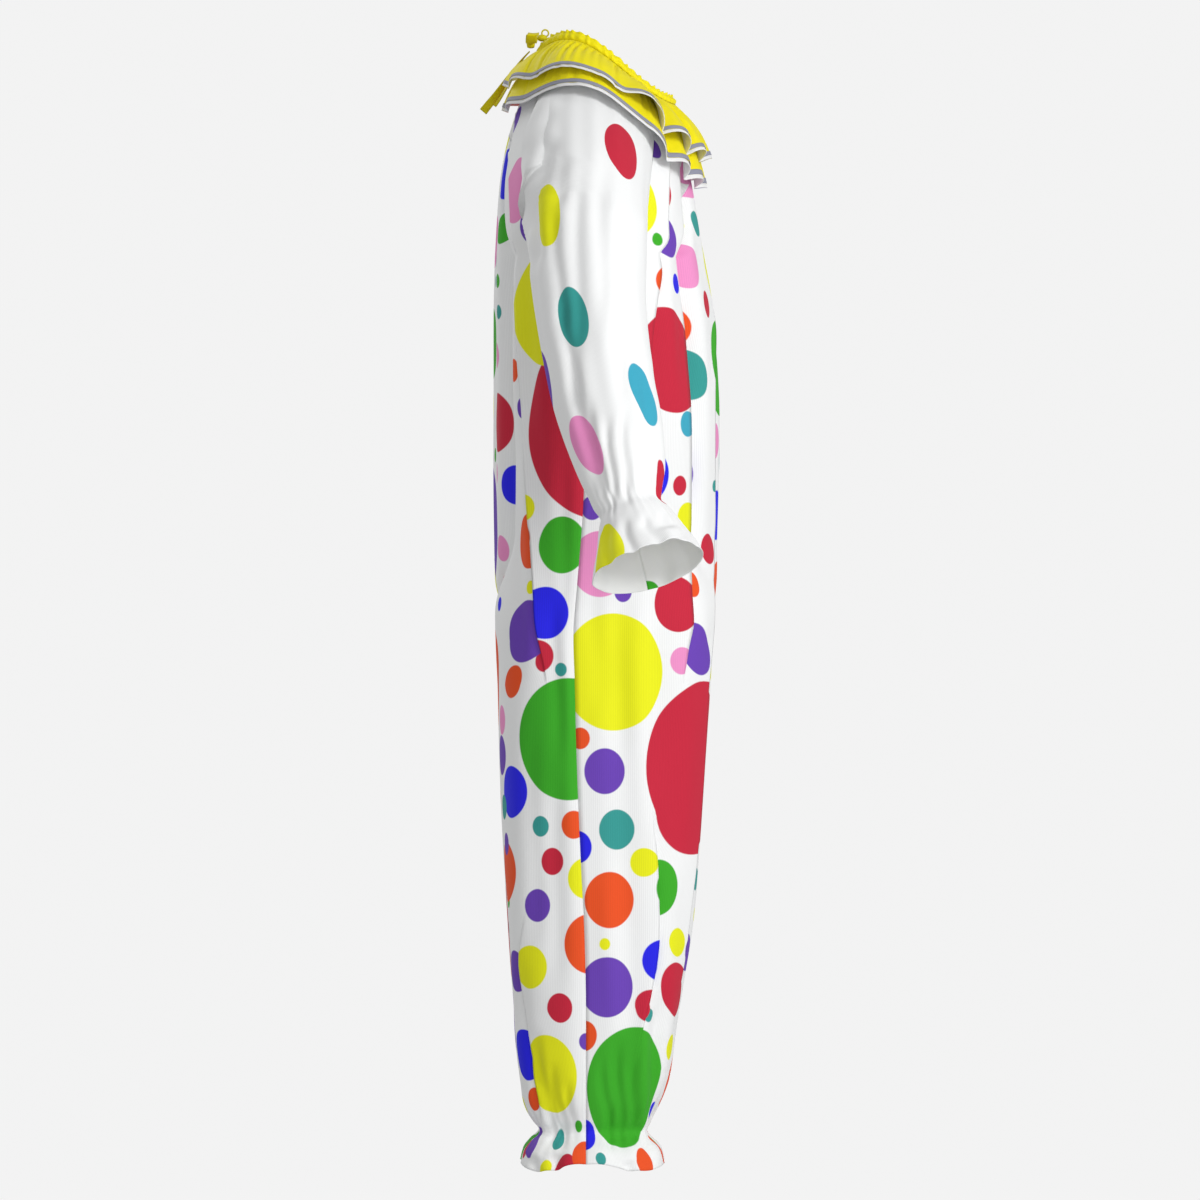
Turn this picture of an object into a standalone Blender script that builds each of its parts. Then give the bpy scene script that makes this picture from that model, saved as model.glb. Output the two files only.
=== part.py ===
"""Clown costume: a one-piece jumpsuit of dotted cloth with raglan sleeves, frilled cuffs and ankles, a
ruffled collar in two tiers and a ribbon bow at the back of the neck.

Every panel of cloth is a wall laid on a surface that is worked out from short tables of sections. The
wearer faces -Y, the wearer's right is at -X, and the origin is the middle of the neck opening. Metres.
"""

import math
from collections import namedtuple

import bmesh
import bpy
import numpy as np
from mathutils import Vector

CLOTH = 0.002  # wall of the body and sleeve panels
RUFFLE = 0.0014  # wall of the collar tiers and the neck casing
TRIM = 0.0008  # wall of the grey bands
RIBBON = 0.0012  # wall of the tie ribbon
RIBBON_WIDTH = 0.013
SEAM_GAP = 0.0002  # how far each panel draws back from a seam
STEP = 1e-3  # step of a surface's slopes, in its own 0 to 1 coordinates
SAME_WAY = 0.5  # walls whose normals agree by more than this cosine share one normal at a seam
SHARP = math.radians(50)  # an edge turned further than this is a sharp edge of the cloth
FACING = {"front": -1, "back": 1, "sleeve": -1, "tier": 1, "casing": -1}

# The neck opening: an egg-shaped ring, high on the sides of the neck and low in front.
NECK_HALF_WIDTH = 0.085
NECK_HALF_DEPTH = 0.0825
NECK_MIDDLE_Y = -0.0025
NECK_HEIGHTS = (0.01125, -0.0395, -0.01375, 0.008)  # cosine terms of the ring's height
Edge = namedtuple("Edge", "out down")
CASING_TOP = Edge(0.0, 0.0)
CASING_FOOT = Edge(0.004, 0.012)
UPPER_SEWN = Edge(0.0048, 0.0126)
LOWER_SEWN = Edge(0.0048, 0.0158)
BODY_SEWN = Edge(0.0048, 0.0196)
RAGLAN_FRONT = math.radians(43)  # where the sleeves meet the neck, from the front
RAGLAN_BACK = math.radians(137)
NECK_PULL = 0.6  # level at which the neck ring has stopped drawing the rows onto itself
CASING_END = math.radians(177)  # the casing stops here on each side of the back slit

UNDERARM = -0.236
ARM_SPREAD = math.radians(25.8)  # the arms stand this far from upright
SLEEVE_CLEAR = 0.0005

# The shoulder part of a sleeve, from the neck (0) to the underarm (1): middle of the chord between
# the two raglan seams, crown over the shoulder, half width, how far the arc closes under, and tilt.
Cap = namedtuple("Cap", "at mid_x mid_y mid_z top_x top_y top_z half closed tilt")
CAP = (
    Cap(0.00, -0.060, -0.0025, -0.009, -0.0898, -0.0025, 0.005, 0.0729, 0, 27.8),
    Cap(0.20, -0.096, 0.009, -0.060, -0.138, 0.005, -0.024, 0.0785, 0, 21.0),
    Cap(0.40, -0.132, 0.0165, -0.1000, -0.192, 0.012, -0.055, 0.0810, 3, 17.0),
    Cap(0.60, -0.1605, 0.0210, -0.1400, -0.240, 0.015, -0.087, 0.0795, 8, 13.0),
    Cap(0.80, -0.1845, 0.0215, -0.1815, -0.283, 0.018, -0.125, 0.0765, 23, 9.0),
    Cap(0.90, -0.196, 0.0215, -0.2085, -0.303, 0.019, -0.152, 0.0752, 44, 5.0),
    Cap(1.00, -0.206, 0.0210, UNDERARM, -0.322, 0.020, -0.180, 0.0745, 90, 0.0),
)

# The sleeve below the underarm: middle of each ring, half width front to back, half width across,
# and the ring's lean. It is gathered by an elastic above the frill.
Ring = namedtuple("Ring", "at x y z front side lean")
SLEEVE = (
    Ring(1.00, -0.264, 0.0205, -0.208, 0.0745, 0.0644, 0),
    Ring(1.22, -0.308, 0.0155, -0.302, 0.0690, 0.0625, 4),
    Ring(1.36, -0.335, 0.0080, -0.361, 0.0665, 0.0610, 8),
    Ring(1.47, -0.358, -0.0005, -0.410, 0.0650, 0.0600, 11),
    Ring(1.57, -0.378, -0.0105, -0.452, 0.0620, 0.0580, 13),
    Ring(1.65, -0.393, -0.0180, -0.484, 0.0575, 0.0540, 14),
    Ring(1.73, -0.408, -0.0255, -0.517, 0.0510, 0.0480, 15),
    Ring(1.78, -0.419, -0.0290, -0.540, 0.0440, 0.0420, 16),
    Ring(1.81, -0.425, -0.0330, -0.553, 0.0395, 0.0380, 17),
    Ring(1.84, -0.4305, -0.0370, -0.565, 0.0460, 0.0430, 17),
    Ring(1.90, -0.442, -0.0450, -0.590, 0.0570, 0.0520, 17),
    Ring(1.96, -0.452, -0.0510, -0.612, 0.0665, 0.0600, 16),
    Ring(2.00, -0.4585, -0.0540, -0.625, 0.0710, 0.0640, 15),
)

# The middle lines of the body from the neck (0) to the underarm (1), and how much of a quarter
# turn a panel's row has made where it meets the raglan seam, in degrees.
Yoke = namedtuple("Yoke", "at front_y front_z back_y back_z turn")
YOKE = (
    Yoke(0.00, -0.0898, -0.0536, 0.0848, 0.0094, 43),
    Yoke(0.20, -0.0980, -0.0880, 0.1030, -0.0370, 42),
    Yoke(0.40, -0.1050, -0.1240, 0.1190, -0.0850, 45),
    Yoke(0.60, -0.1125, -0.1610, 0.1290, -0.1340, 50),
    Yoke(0.80, -0.1185, -0.1980, 0.1335, -0.1850, 62),
    Yoke(0.90, -0.1215, -0.2165, 0.1350, -0.2105, 74),
    Yoke(1.00, -0.1250, UNDERARM, 0.1365, UNDERARM, 90),
)

# The body and a leg below the underarm: front and back of the cloth, its outermost and innermost x,
# and the y of the outseam and of the inseam. Gathered by an elastic at the ankle, above the frill.
Section = namedtuple("Section", "drop front back outer inner outseam inseam")
SECTIONS = (
    Section(0.000, -0.1250, 0.1365, 0.206, 0.0004, 0.0210, 0.005),
    Section(0.055, -0.1340, 0.1375, 0.211, 0.0004, 0.0290, 0.005),
    Section(0.155, -0.1425, 0.1375, 0.216, 0.0004, 0.0340, 0.005),
    Section(0.305, -0.1425, 0.1375, 0.220, 0.0004, 0.0370, 0.005),
    Section(0.405, -0.1390, 0.1355, 0.223, 0.0004, 0.0380, 0.005),
    Section(0.470, -0.1350, 0.1340, 0.224, 0.0006, 0.0380, 0.006),
    Section(0.530, -0.1325, 0.1325, 0.224, 0.0040, 0.0365, 0.007),
    Section(0.630, -0.1260, 0.1300, 0.223, 0.0130, 0.0340, 0.008),
    Section(0.730, -0.1195, 0.1260, 0.221, 0.0240, 0.0300, 0.009),
    Section(0.855, -0.1075, 0.1190, 0.217, 0.0400, 0.0240, 0.010),
    Section(0.930, -0.0950, 0.1140, 0.213, 0.0500, 0.0225, 0.011),
    Section(0.980, -0.0875, 0.1110, 0.209, 0.0580, 0.0225, 0.012),
    Section(1.030, -0.0800, 0.1050, 0.203, 0.0660, 0.0225, 0.013),
    Section(1.060, -0.0700, 0.1000, 0.197, 0.0740, 0.0225, 0.014),
    Section(1.080, -0.0600, 0.0900, 0.190, 0.0820, 0.0225, 0.015),
    Section(1.091, -0.0550, 0.0825, 0.186, 0.0860, 0.0225, 0.015),
    Section(1.103, -0.0620, 0.0920, 0.193, 0.0790, 0.0225, 0.015),
    Section(1.115, -0.0700, 0.0990, 0.202, 0.0700, 0.0225, 0.015),
    Section(1.139, -0.0760, 0.1050, 0.213, 0.0590, 0.0225, 0.015),
)
CROTCH_TOP = 0.345  # where the crotch curve leaves the middle lines, below the underarm
CROTCH = 0.470  # where it ends in the inseam
BODY_ROUND = 2.3  # exponent of the sections: 2 is an ellipse, more is squarer
HALF_GAP = 0.0002  # the left and right halves keep this far from the middle plane

# Soft vertical folds that hang from the gathered neck and from the seat. Each is a trough across
# a row (0 at the middle of the body, 1 at the side seam), between two levels.
Fold = namedtuple("Fold", "panel across width depth top bottom")
FOLDS = (
    Fold("front", 0.36, 0.085, 0.017, 0.35, 1.44),
    Fold("back", 0.34, 0.090, 0.013, 0.30, 1.55),
)
FOLD_FADE = 0.16  # levels over which a fold dies out at each end

# The lower edges of the two collar tiers, from the front (0) to the back (180 degrees).
Rim = namedtuple("Rim", "angle height")
UPPER_RIM = (
    Rim(0, -0.116), Rim(20, -0.111), Rim(35, -0.101), Rim(47, -0.085), Rim(58, -0.063),
    Rim(66, -0.046), Rim(75, -0.035), Rim(90, -0.012), Rim(100, -0.006), Rim(115, -0.003),
    Rim(130, -0.009), Rim(145, -0.016), Rim(180, -0.024),
)  # fmt: skip
LOWER_RIM = (
    Rim(0, -0.152), Rim(20, -0.143), Rim(36, -0.128), Rim(50, -0.106), Rim(60, -0.084),
    Rim(73, -0.058), Rim(90, -0.032), Rim(103, -0.025), Rim(115, -0.027), Rim(129, -0.034),
    Rim(152, -0.047), Rim(180, -0.055),
)  # fmt: skip
Tier = namedtuple("Tier", "sewn rim half_width half_depth middle bulge wave swing slit")
UPPER = Tier(UPPER_SEWN, UPPER_RIM, 0.173, 0.1290, -0.0010, 0.007, 0.0075, 0.005, 7)
LOWER = Tier(LOWER_SEWN, LOWER_RIM, 0.186, 0.1250, 0.0015, 0.006, 0.0060, 0.004, 3)
WAVES = 7  # flutes of a ruffle from the front to the back of one side
CROWDING = 0.35  # how much closer the flutes stand in front than behind
FLARE = 1.5  # power by which the flutes grow from the neck to the rim
BAND = (0.885, 0.950)  # the grey band on a tier, from the neck (0) to the rim (1)
BAND_LIFT = 0.0009  # the band lies this far above the tier

# The bow's knot and the routes of its two tails, which lie between the tiers and stick out behind.
KNOT = Vector((0.0, 0.0915, 0.0310))
KNOT_SIZE = Vector((0.013, 0.010, 0.012))
KNOT_ROUND = 0.003
RIGHT_TAIL = (
    (-0.0075, 0.0930, 0.0205), (-0.0080, 0.1010, 0.0120), (-0.0085, 0.1090, 0.0015),
    (-0.0090, 0.1175, -0.0100), (-0.0095, 0.1265, -0.0230), (-0.0100, 0.1350, -0.0350),
    (-0.0105, 0.1430, -0.0450), (-0.0110, 0.1510, -0.0550),
)  # fmt: skip
LEFT_TAIL = (
    (0.0075, 0.0930, 0.0205), (0.0080, 0.1005, 0.0120), (0.0085, 0.1080, 0.0010),
    (0.0090, 0.1160, -0.0110), (0.0095, 0.1240, -0.0235), (0.0100, 0.1320, -0.0360),
    (0.0105, 0.1390, -0.0460),
)  # fmt: skip
TAIL_TWIST = math.radians(50)  # a tail turns this far between the knot and its end
RIGHT_LOOP = Vector((-0.90, -0.05, 0.30))  # heading of the bow's loop on the wearer's right
LEFT_LOOP = Vector((0.90, -0.15, 0.42))
LOOP_START = Vector((0.0080, 0.0915, 0.0330))  # on the left side of the knot
LOOP_LENGTH = 0.026
LOOP_HEIGHT = 0.013
LOOP_PINCH = 0.35  # height of a loop at the knot, as a share of its height further out
LOOP_LIFT = 0.08  # how far the end of a loop is lifted off its start, as a share of its height

CAP_LEVELS = (0, 0.2, 0.4, 0.6, 0.8, 0.9, 1)
BODY_DROPS = (
    0.08, 0.20, 0.345, 0.405, 0.440, 0.460, 0.470, 0.560, 0.680, 0.800, 0.910, 1.000, 1.055,
    1.091, 1.112, 1.139,
)  # fmt: skip
SLEEVE_LEVELS = (1.15, 1.36, 1.52, 1.65, 1.75, 1.81, 1.86, 1.93, 2.0)
FRONT_COLUMNS = (0, 0.12, 0.24, 0.305, 0.36, 0.415, 0.48, 0.59, 0.70, 0.80, 0.90, 1)
BACK_COLUMNS = (0, 0.11, 0.22, 0.28, 0.34, 0.40, 0.46, 0.57, 0.68, 0.79, 0.90, 1)
SLEEVE_COLUMNS = 14
TIER_COLUMNS = 60
TIER_ROWS = 3
CASING_COLUMNS = 36
LOOP_ROWS = 14

COLOURS = {
    "dotted_cloth": (0.93, 0.94, 0.94),
    "yellow_ruffle": (0.93, 0.83, 0.02),
    "grey_band": (0.33, 0.34, 0.42),
    "yellow_ribbon": (0.80, 0.72, 0.02),
}


def through(table, name, at):
    """One column of a table, on a smooth curve through its rows, at places along its first column."""
    knots = np.array([row[0] for row in table], float)
    values = np.array([getattr(row, name) for row in table], float)
    slopes = np.gradient(values, knots)
    at = np.clip(at, knots[0], knots[-1])
    i = np.clip(np.searchsorted(knots, at) - 1, 0, len(knots) - 2)
    span = knots[i + 1] - knots[i]
    t = (at - knots[i]) / span
    start = values[i] * (1 + 2 * t) + slopes[i] * span * t
    end = values[i + 1] * (3 - 2 * t) + slopes[i + 1] * span * (t - 1)
    return start * (1 - t) ** 2 + end * t**2


def ease(t):
    """A smooth step from 0 to 1."""
    t = np.clip(t, 0, 1)
    return t * t * (3 - 2 * t)


def points(x, y, z):
    return np.stack(np.broadcast_arrays(x, y, z), axis=-1)


def neck(angle, edge):
    """The neck ring at an angle from the front, moved out and down."""
    flat, lean, sag, skew = NECK_HEIGHTS
    height = flat + lean * np.cos(angle) + sag * np.cos(2 * angle) + skew * np.cos(3 * angle)
    x = -(NECK_HALF_WIDTH + edge.out) * np.sin(angle)
    y = NECK_MIDDLE_Y - (NECK_HALF_DEPTH + edge.out) * np.cos(angle)
    return points(x, y, height - edge.down)


def cap_arc(u, at):
    """The shoulder part of the sleeve, from the front raglan seam (0) over the top to the back (1)."""
    middle = points(*(through(CAP, name, at) for name in ("mid_x", "mid_y", "mid_z")))
    crown = points(*(through(CAP, name, at) for name in ("top_x", "top_y", "top_z")))
    closed = np.radians(through(CAP, "closed", at))
    tilt = np.radians(through(CAP, "tilt", at))
    angle = -closed + (np.pi + 2 * closed) * u
    forward = points(0 * tilt, -np.cos(tilt), -np.sin(tilt))
    rise = (crown - middle) / (1 + np.sin(closed))[..., None]
    centre = middle + rise * np.sin(closed)[..., None]
    across = (through(CAP, "half", at) * np.cos(angle))[..., None] * forward
    return centre + across + rise * np.sin(angle)[..., None]


def shoulder(u, at):
    """The shoulder part of the sleeve, with its top drawn onto the neck ring."""
    angle = RAGLAN_FRONT + (RAGLAN_BACK - RAGLAN_FRONT) * u
    to_neck = neck(angle, BODY_SEWN) - cap_arc(u, np.zeros_like(at))
    return cap_arc(u, at) + to_neck * (1 - ease(at / NECK_PULL))[..., None]


def sleeve_tube(u, at):
    """The sleeve below the underarm, round from the underarm seam by the front."""
    turn = -np.pi / 2 + 2 * np.pi * u
    lean = np.radians(through(SLEEVE, "lean", at))
    out = np.array((-math.cos(ARM_SPREAD), 0, math.sin(ARM_SPREAD)))
    up = np.array((math.sin(ARM_SPREAD), 0, math.cos(ARM_SPREAD)))
    forward = points(0 * lean, -np.cos(lean), 0 * lean) + np.sin(lean)[..., None] * up
    centre = points(*(through(SLEEVE, name, at) for name in ("x", "y", "z")))
    to_front = (through(SLEEVE, "front", at) * np.cos(turn))[..., None] * forward
    to_side = (through(SLEEVE, "side", at) * np.sin(turn))[..., None] * out
    return centre + to_front + to_side


def sleeve(u, at):
    """The right sleeve: at goes from the neck (0) by the underarm (1) to the hem of the frill (2)."""
    upper = shoulder(u, np.clip(at, 0, 1))
    return np.where((at <= 1)[..., None], upper, sleeve_tube(u, at)) - (SLEEVE_CLEAR, 0, 0)


def yoke_row(across, at, side):
    """A row of the body above the underarm, from the middle line (0) to the raglan seam (1)."""
    seam = shoulder(np.full_like(at, 0.0 if side == "front" else 1.0), at)
    middle_y = through(YOKE, side + "_y", at)
    middle_z = through(YOKE, side + "_z", at)
    last = np.radians(through(YOKE, "turn", at))
    exponent = 2 / (2 + (BODY_ROUND - 2) * at)
    turn = last * across
    share_x = np.sin(turn) ** exponent / np.sin(last) ** exponent
    share_y = (1 - np.cos(turn) ** exponent) / (1 - np.cos(last) ** exponent)
    x = seam[..., 0] * share_x
    y = middle_y + (seam[..., 1] - middle_y) * share_y
    z = middle_z + (seam[..., 2] - middle_z) * share_y
    return points(x, y, z)


def yoke(across, at, side):
    """The body above the underarm, with its top row drawn onto the neck ring."""
    first, last = (0.0, RAGLAN_FRONT) if side == "front" else (np.pi, RAGLAN_BACK)
    ring = neck(first + (last - first) * across, BODY_SEWN)
    to_neck = ring - yoke_row(across, np.zeros_like(at), side)
    return yoke_row(across, at, side) + to_neck * (1 - ease(at / NECK_PULL))[..., None]


def trunk(across, drop, side):
    """The body and leg below the underarm, from the middle line or inseam (0) to the side seam (1)."""
    edge, outer, inner, seam, inseam = (
        through(SECTIONS, name, drop) for name in (side, "outer", "inner", "outseam", "inseam")
    )
    down = np.clip((drop - CROTCH_TOP) / (CROTCH - CROTCH_TOP), 0, 1)
    cleft = 1 - np.sqrt(1 - down**2)
    spread = ease(down)
    peak = spread * (outer + inner) / 2
    share = spread / 2
    inside = across < share
    turn = np.where(inside, across / np.maximum(share, STEP), (across - share) / (1 - share))
    turn = np.clip(turn, 0, 1) * np.pi / 2
    exponent = 2 / BODY_ROUND
    sine, cosine = np.sin(turn) ** exponent, np.cos(turn) ** exponent
    near_x = -inner - (peak - inner) * (1 - cosine)
    near_y = edge + (inseam - edge) * cleft * (1 - sine)
    far_x = -peak - (outer - peak) * sine
    far_y = seam + (edge - seam) * cosine
    return points(
        np.where(inside, near_x, far_x), np.where(inside, near_y, far_y), UNDERARM - drop
    )


def body(across, level, side):
    """A body panel: level 0 to 1 is the yoke, and past 1 it is metres below the underarm."""
    upper = yoke(across, np.clip(level, 0, 1), side)
    lower = trunk(across, np.clip(level - 1, 0, None), side)
    return np.where((level <= 1)[..., None], upper, lower)


def fold_depth(across, level, side):
    depth = np.zeros_like(across)
    for fold in FOLDS:
        if fold.panel == side:
            trough = np.exp(-(((across - fold.across) / fold.width) ** 2) * 2)
            span = ease((level - fold.top) / FOLD_FADE) * ease((fold.bottom - level) / FOLD_FADE)
            depth = depth + fold.depth * trough * span
    return depth


def slopes(surface, u, v):
    """A surface's slopes along its two coordinates, each taken inside 0 to 1."""
    along = []
    for du, dv in ((STEP, 0), (0, STEP)):
        ahead = surface(np.clip(u + du, 0, 1), v + dv)
        behind = surface(np.clip(u - du, 0, 1), np.clip(v - dv, 0, None))
        along.append(ahead - behind)
    return along


def normals(surface, u, v, facing):
    """Unit normals of a surface, turned outwards by facing, which is 1 or -1."""
    du, dv = slopes(surface, u, v)
    normal = np.cross(dv, du) * facing
    return normal / np.linalg.norm(normal, axis=-1, keepdims=True)


def panel(across, level, side):
    """A body panel with its folds."""

    def plain(u, v):
        return body(u, v, side)

    outward = normals(plain, across, level, FACING[side])
    return plain(across, level) - outward * fold_depth(across, level, side)[..., None]


def tier(around, out, shape):
    """A collar tier: around is 0 to 1 from one side of the back slit to the other, out is 0 to 1."""
    first = math.radians(180 - shape.slit)
    angle = first * (1 - 2 * around)
    size = np.abs(angle)
    sewn = neck(angle, shape.sewn)
    rim = points(
        -shape.half_width * np.sin(angle),
        shape.middle - shape.half_depth * np.cos(angle),
        through(shape.rim, "height", np.degrees(size)),
    )
    reach = rim - sewn
    tangent = points(-np.cos(angle), np.sin(angle), 0)
    outward = np.cross(tangent, reach)
    outward /= np.linalg.norm(outward, axis=-1, keepdims=True)
    share = size / np.pi
    phase = 2 * np.pi * WAVES * (share + CROWDING / np.pi * np.sin(np.pi * share))
    growth = np.clip(out, 0, 1) ** FLARE
    lift = shape.bulge * np.sin(np.pi * out) + shape.wave * growth * np.cos(phase)
    swing = shape.swing * growth * np.sin(phase) * np.sign(angle)
    return (
        sewn
        + reach * out[..., None]
        + outward * lift[..., None]
        + tangent * swing[..., None]
    )


def casing(around, up):
    """The gathered casing that holds the drawstring, standing round the neck."""
    angle = CASING_END * (1 - 2 * around)
    foot = neck(angle, CASING_FOOT)
    top = neck(angle, CASING_TOP)
    return foot + (top - foot) * up[..., None]


def on_route(stops, v):
    """Places along a route of points, and the headings there."""
    at = np.clip(v, 0, 1) * (len(stops) - 1)
    i = np.clip(at.astype(int), 0, len(stops) - 2)
    t = (at - i)[..., None]
    headings = np.gradient(stops, axis=0)
    return stops[i] * (1 - t) + stops[i + 1] * t, headings[i] * (1 - t) + headings[i + 1] * t


def tail_surface(route, twist):
    """A ribbon that follows a route of points, turning as it goes."""
    stops = np.array(route)

    def surface(u, v):
        middle, heading = on_route(stops, v)
        side = np.cross(heading, np.cross((1.0, 0, 0), heading))
        side /= np.linalg.norm(side, axis=-1, keepdims=True)
        face = np.cross(heading, side)
        face /= np.linalg.norm(face, axis=-1, keepdims=True)
        turn = (twist * ease(v))[..., None]
        across = side * np.cos(turn) + face * np.sin(turn)
        return middle + across * ((u - 0.5) * RIBBON_WIDTH)[..., None]

    return surface


def loop_surface(heading):
    """A ribbon in a teardrop loop that leaves the knot along a heading and comes back above itself."""
    rise = Vector((-heading.z, 0, heading.x)).normalized()
    if rise.z < 0:
        rise.negate()
    start = LOOP_START * 1
    start.x = math.copysign(start.x, heading.x)
    route = []
    for row in range(LOOP_ROWS + 1):
        turn = -math.pi + 2 * math.pi * row / LOOP_ROWS
        out = LOOP_LENGTH * (1 + math.cos(turn)) / 2
        fullness = LOOP_PINCH + (1 - LOOP_PINCH) * math.sin(abs(turn) / 2) ** 2
        over = math.sin(turn) * fullness / 2 - LOOP_LIFT * turn / math.pi
        route.append(start + heading * out + rise * LOOP_HEIGHT * over)
    stops = np.array(route)

    def surface(u, v):
        return on_route(stops, v)[0] + points(0, (u - 0.5) * RIBBON_WIDTH, 0)

    return surface


def grid_of(surface, across, along, facing):
    """A surface's points and outward normals at the crossings of its columns and rows."""
    u, v = np.meshgrid(np.array(across, float), np.array(along, float), indexing="ij")
    return surface(u, v), normals(surface, u, v, facing)


def draw_back(places):
    """Draws a panel's two long edges back from their seams."""
    for edge, inside in ((0, 1), (-1, -2)):
        step = places[inside] - places[edge]
        places[edge] += SEAM_GAP * step / np.linalg.norm(step, axis=-1, keepdims=True)
    return places


def wall(name, places, outward, thickness, material):
    """A closed wall of cloth: a grid moved onto its places and extruded inwards."""
    columns, rows = places.shape[:2]
    mesh = bpy.data.meshes.new(name)
    bm = bmesh.new()
    bmesh.ops.create_grid(bm, x_segments=columns - 1, y_segments=rows - 1, size=0.5)
    index = bm.verts.layers.int.new("place")
    for vert in bm.verts:
        i = round((vert.co.x + 0.5) * (columns - 1))
        j = round((vert.co.y + 0.5) * (rows - 1))
        vert[index] = i * rows + j
        vert.co = places[i, j]
    grown = bmesh.ops.extrude_face_region(bm, geom=bm.faces[:], use_keep_orig=True)
    steps = (-outward * thickness).reshape(-1, 3)
    for item in grown["geom"]:
        if isinstance(item, bmesh.types.BMVert):
            item.co += Vector(steps[item[index]])
    bmesh.ops.recalc_face_normals(bm, faces=bm.faces[:])
    bm.to_mesh(mesh)
    bm.free()
    mesh.shade_smooth()
    mesh.set_sharp_from_angle(angle=SHARP)
    mesh.materials.append(material)
    piece = bpy.data.objects.new(name, mesh)
    bpy.context.scene.collection.objects.link(piece)
    return piece


def mirrored(places):
    return places * np.array((-1, 1, 1))


def share_normals(pieces):
    """Makes panels that meet at a seam thicken the same way there, so their walls stay apart."""
    sums = {}
    for places, outward in pieces.values():
        for place, normal in zip(places.reshape(-1, 3), outward.reshape(-1, 3), strict=True):
            sums.setdefault(tuple(np.round(place, 4)), []).append(normal)
    for places, outward in pieces.values():
        flat = outward.reshape(-1, 3)
        for i, place in enumerate(places.reshape(-1, 3)):
            near = sums[tuple(np.round(place, 4))]
            close = [normal for normal in near if np.dot(normal, flat[i]) > SAME_WAY]
            total = np.sum(close, axis=0)
            flat[i] = total / np.linalg.norm(total)


def make_material(name):
    material = bpy.data.materials.new(name)
    material.use_nodes = True
    shader = material.node_tree.nodes["Principled BSDF"]
    shader.inputs["Base Color"].default_value = (*COLOURS[name], 1)
    shader.inputs["Roughness"].default_value = 0.8
    shader.inputs["Metallic"].default_value = 0.0
    return material


def make_body(material):
    """The four body panels and the two sleeves."""
    levels = (*CAP_LEVELS, *(1 + drop for drop in BODY_DROPS))
    pieces = {}
    for side, columns in (("front", FRONT_COLUMNS), ("back", BACK_COLUMNS)):

        def surface(u, v, side=side):
            return panel(u, v, side)

        places, outward = grid_of(surface, columns, levels, FACING[side])
        pieces[side + "_right"] = (places, outward)
        pieces[side + "_left"] = (mirrored(places), mirrored(outward))
    columns = np.linspace(0, 1, SLEEVE_COLUMNS + 1)
    places, outward = grid_of(sleeve, columns, (*CAP_LEVELS, *SLEEVE_LEVELS), FACING["sleeve"])
    pieces["sleeve_right"] = (places, outward)
    pieces["sleeve_left"] = (mirrored(places), mirrored(outward))
    share_normals(pieces)
    for name, (places, outward) in pieces.items():
        places = draw_back(places)
        if name.endswith("right"):
            places[..., 0] = np.minimum(places[..., 0], -HALF_GAP)
        else:
            places[..., 0] = np.maximum(places[..., 0], HALF_GAP)
        wall(name, places, outward, CLOTH, material)


def make_collar(material, band_material):
    """The two ruffled tiers, the grey band near the rim of each, and the casing above them."""
    around = np.linspace(0, 1, TIER_COLUMNS + 1)
    for name, shape in (("upper", UPPER), ("lower", LOWER)):

        def surface(u, v, shape=shape):
            return tier(u, v, shape)

        places, outward = grid_of(surface, around, np.linspace(0, 1, TIER_ROWS + 1), FACING["tier"])
        wall(f"collar_{name}", places, outward, RUFFLE, material)
        share = (np.array(BAND) * TIER_ROWS - (TIER_ROWS - 1))[:, None]
        over = [(grid[:, -2:-1] * (1 - share) + grid[:, -1:] * share) for grid in (places, outward)]
        lifted = over[0] + over[1] * (BAND_LIFT + TRIM)
        wall(f"collar_{name}_trim", lifted, over[1], TRIM, band_material)
    around = np.linspace(0, 1, CASING_COLUMNS + 1)
    places, outward = grid_of(casing, around, (0, 1), FACING["casing"])
    wall("neck_casing", places, outward, RUFFLE, material)


def make_ties(material):
    """The ribbon at the back of the neck: knot, two loops and two free tails."""
    mesh = bpy.data.meshes.new("tie_knot")
    bm = bmesh.new()
    bmesh.ops.create_cube(bm, size=1)
    bmesh.ops.scale(bm, vec=KNOT_SIZE, verts=bm.verts)
    edges = bm.edges[:]
    bmesh.ops.bevel(
        bm, geom=edges, offset=KNOT_ROUND, segments=2, profile=0.5, affect="EDGES", material=-1
    )
    bmesh.ops.translate(bm, vec=KNOT, verts=bm.verts)
    bm.to_mesh(mesh)
    bm.free()
    mesh.shade_smooth()
    mesh.materials.append(material)
    bpy.context.scene.collection.objects.link(bpy.data.objects.new("tie_knot", mesh))
    loop_rows = np.linspace(0, 1, LOOP_ROWS + 1)
    ribbons = {
        "tie_tail_right": (tail_surface(RIGHT_TAIL, TAIL_TWIST), np.linspace(0, 1, len(RIGHT_TAIL))),
        "tie_tail_left": (tail_surface(LEFT_TAIL, -TAIL_TWIST), np.linspace(0, 1, len(LEFT_TAIL))),
        "tie_loop_right": (loop_surface(RIGHT_LOOP), loop_rows),
        "tie_loop_left": (loop_surface(LEFT_LOOP), loop_rows),
    }
    for name, (surface, rows) in ribbons.items():
        places, outward = grid_of(surface, (0, 1), rows, 1)
        wall(name, places, outward, RIBBON, material)


def main():
    for old in list(bpy.data.objects):
        bpy.data.objects.remove(old)
    materials = {name: make_material(name) for name in COLOURS}
    make_body(materials["dotted_cloth"])
    make_collar(materials["yellow_ruffle"], materials["grey_band"])
    make_ties(materials["yellow_ribbon"])


if __name__ == "__main__":
    main()
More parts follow.
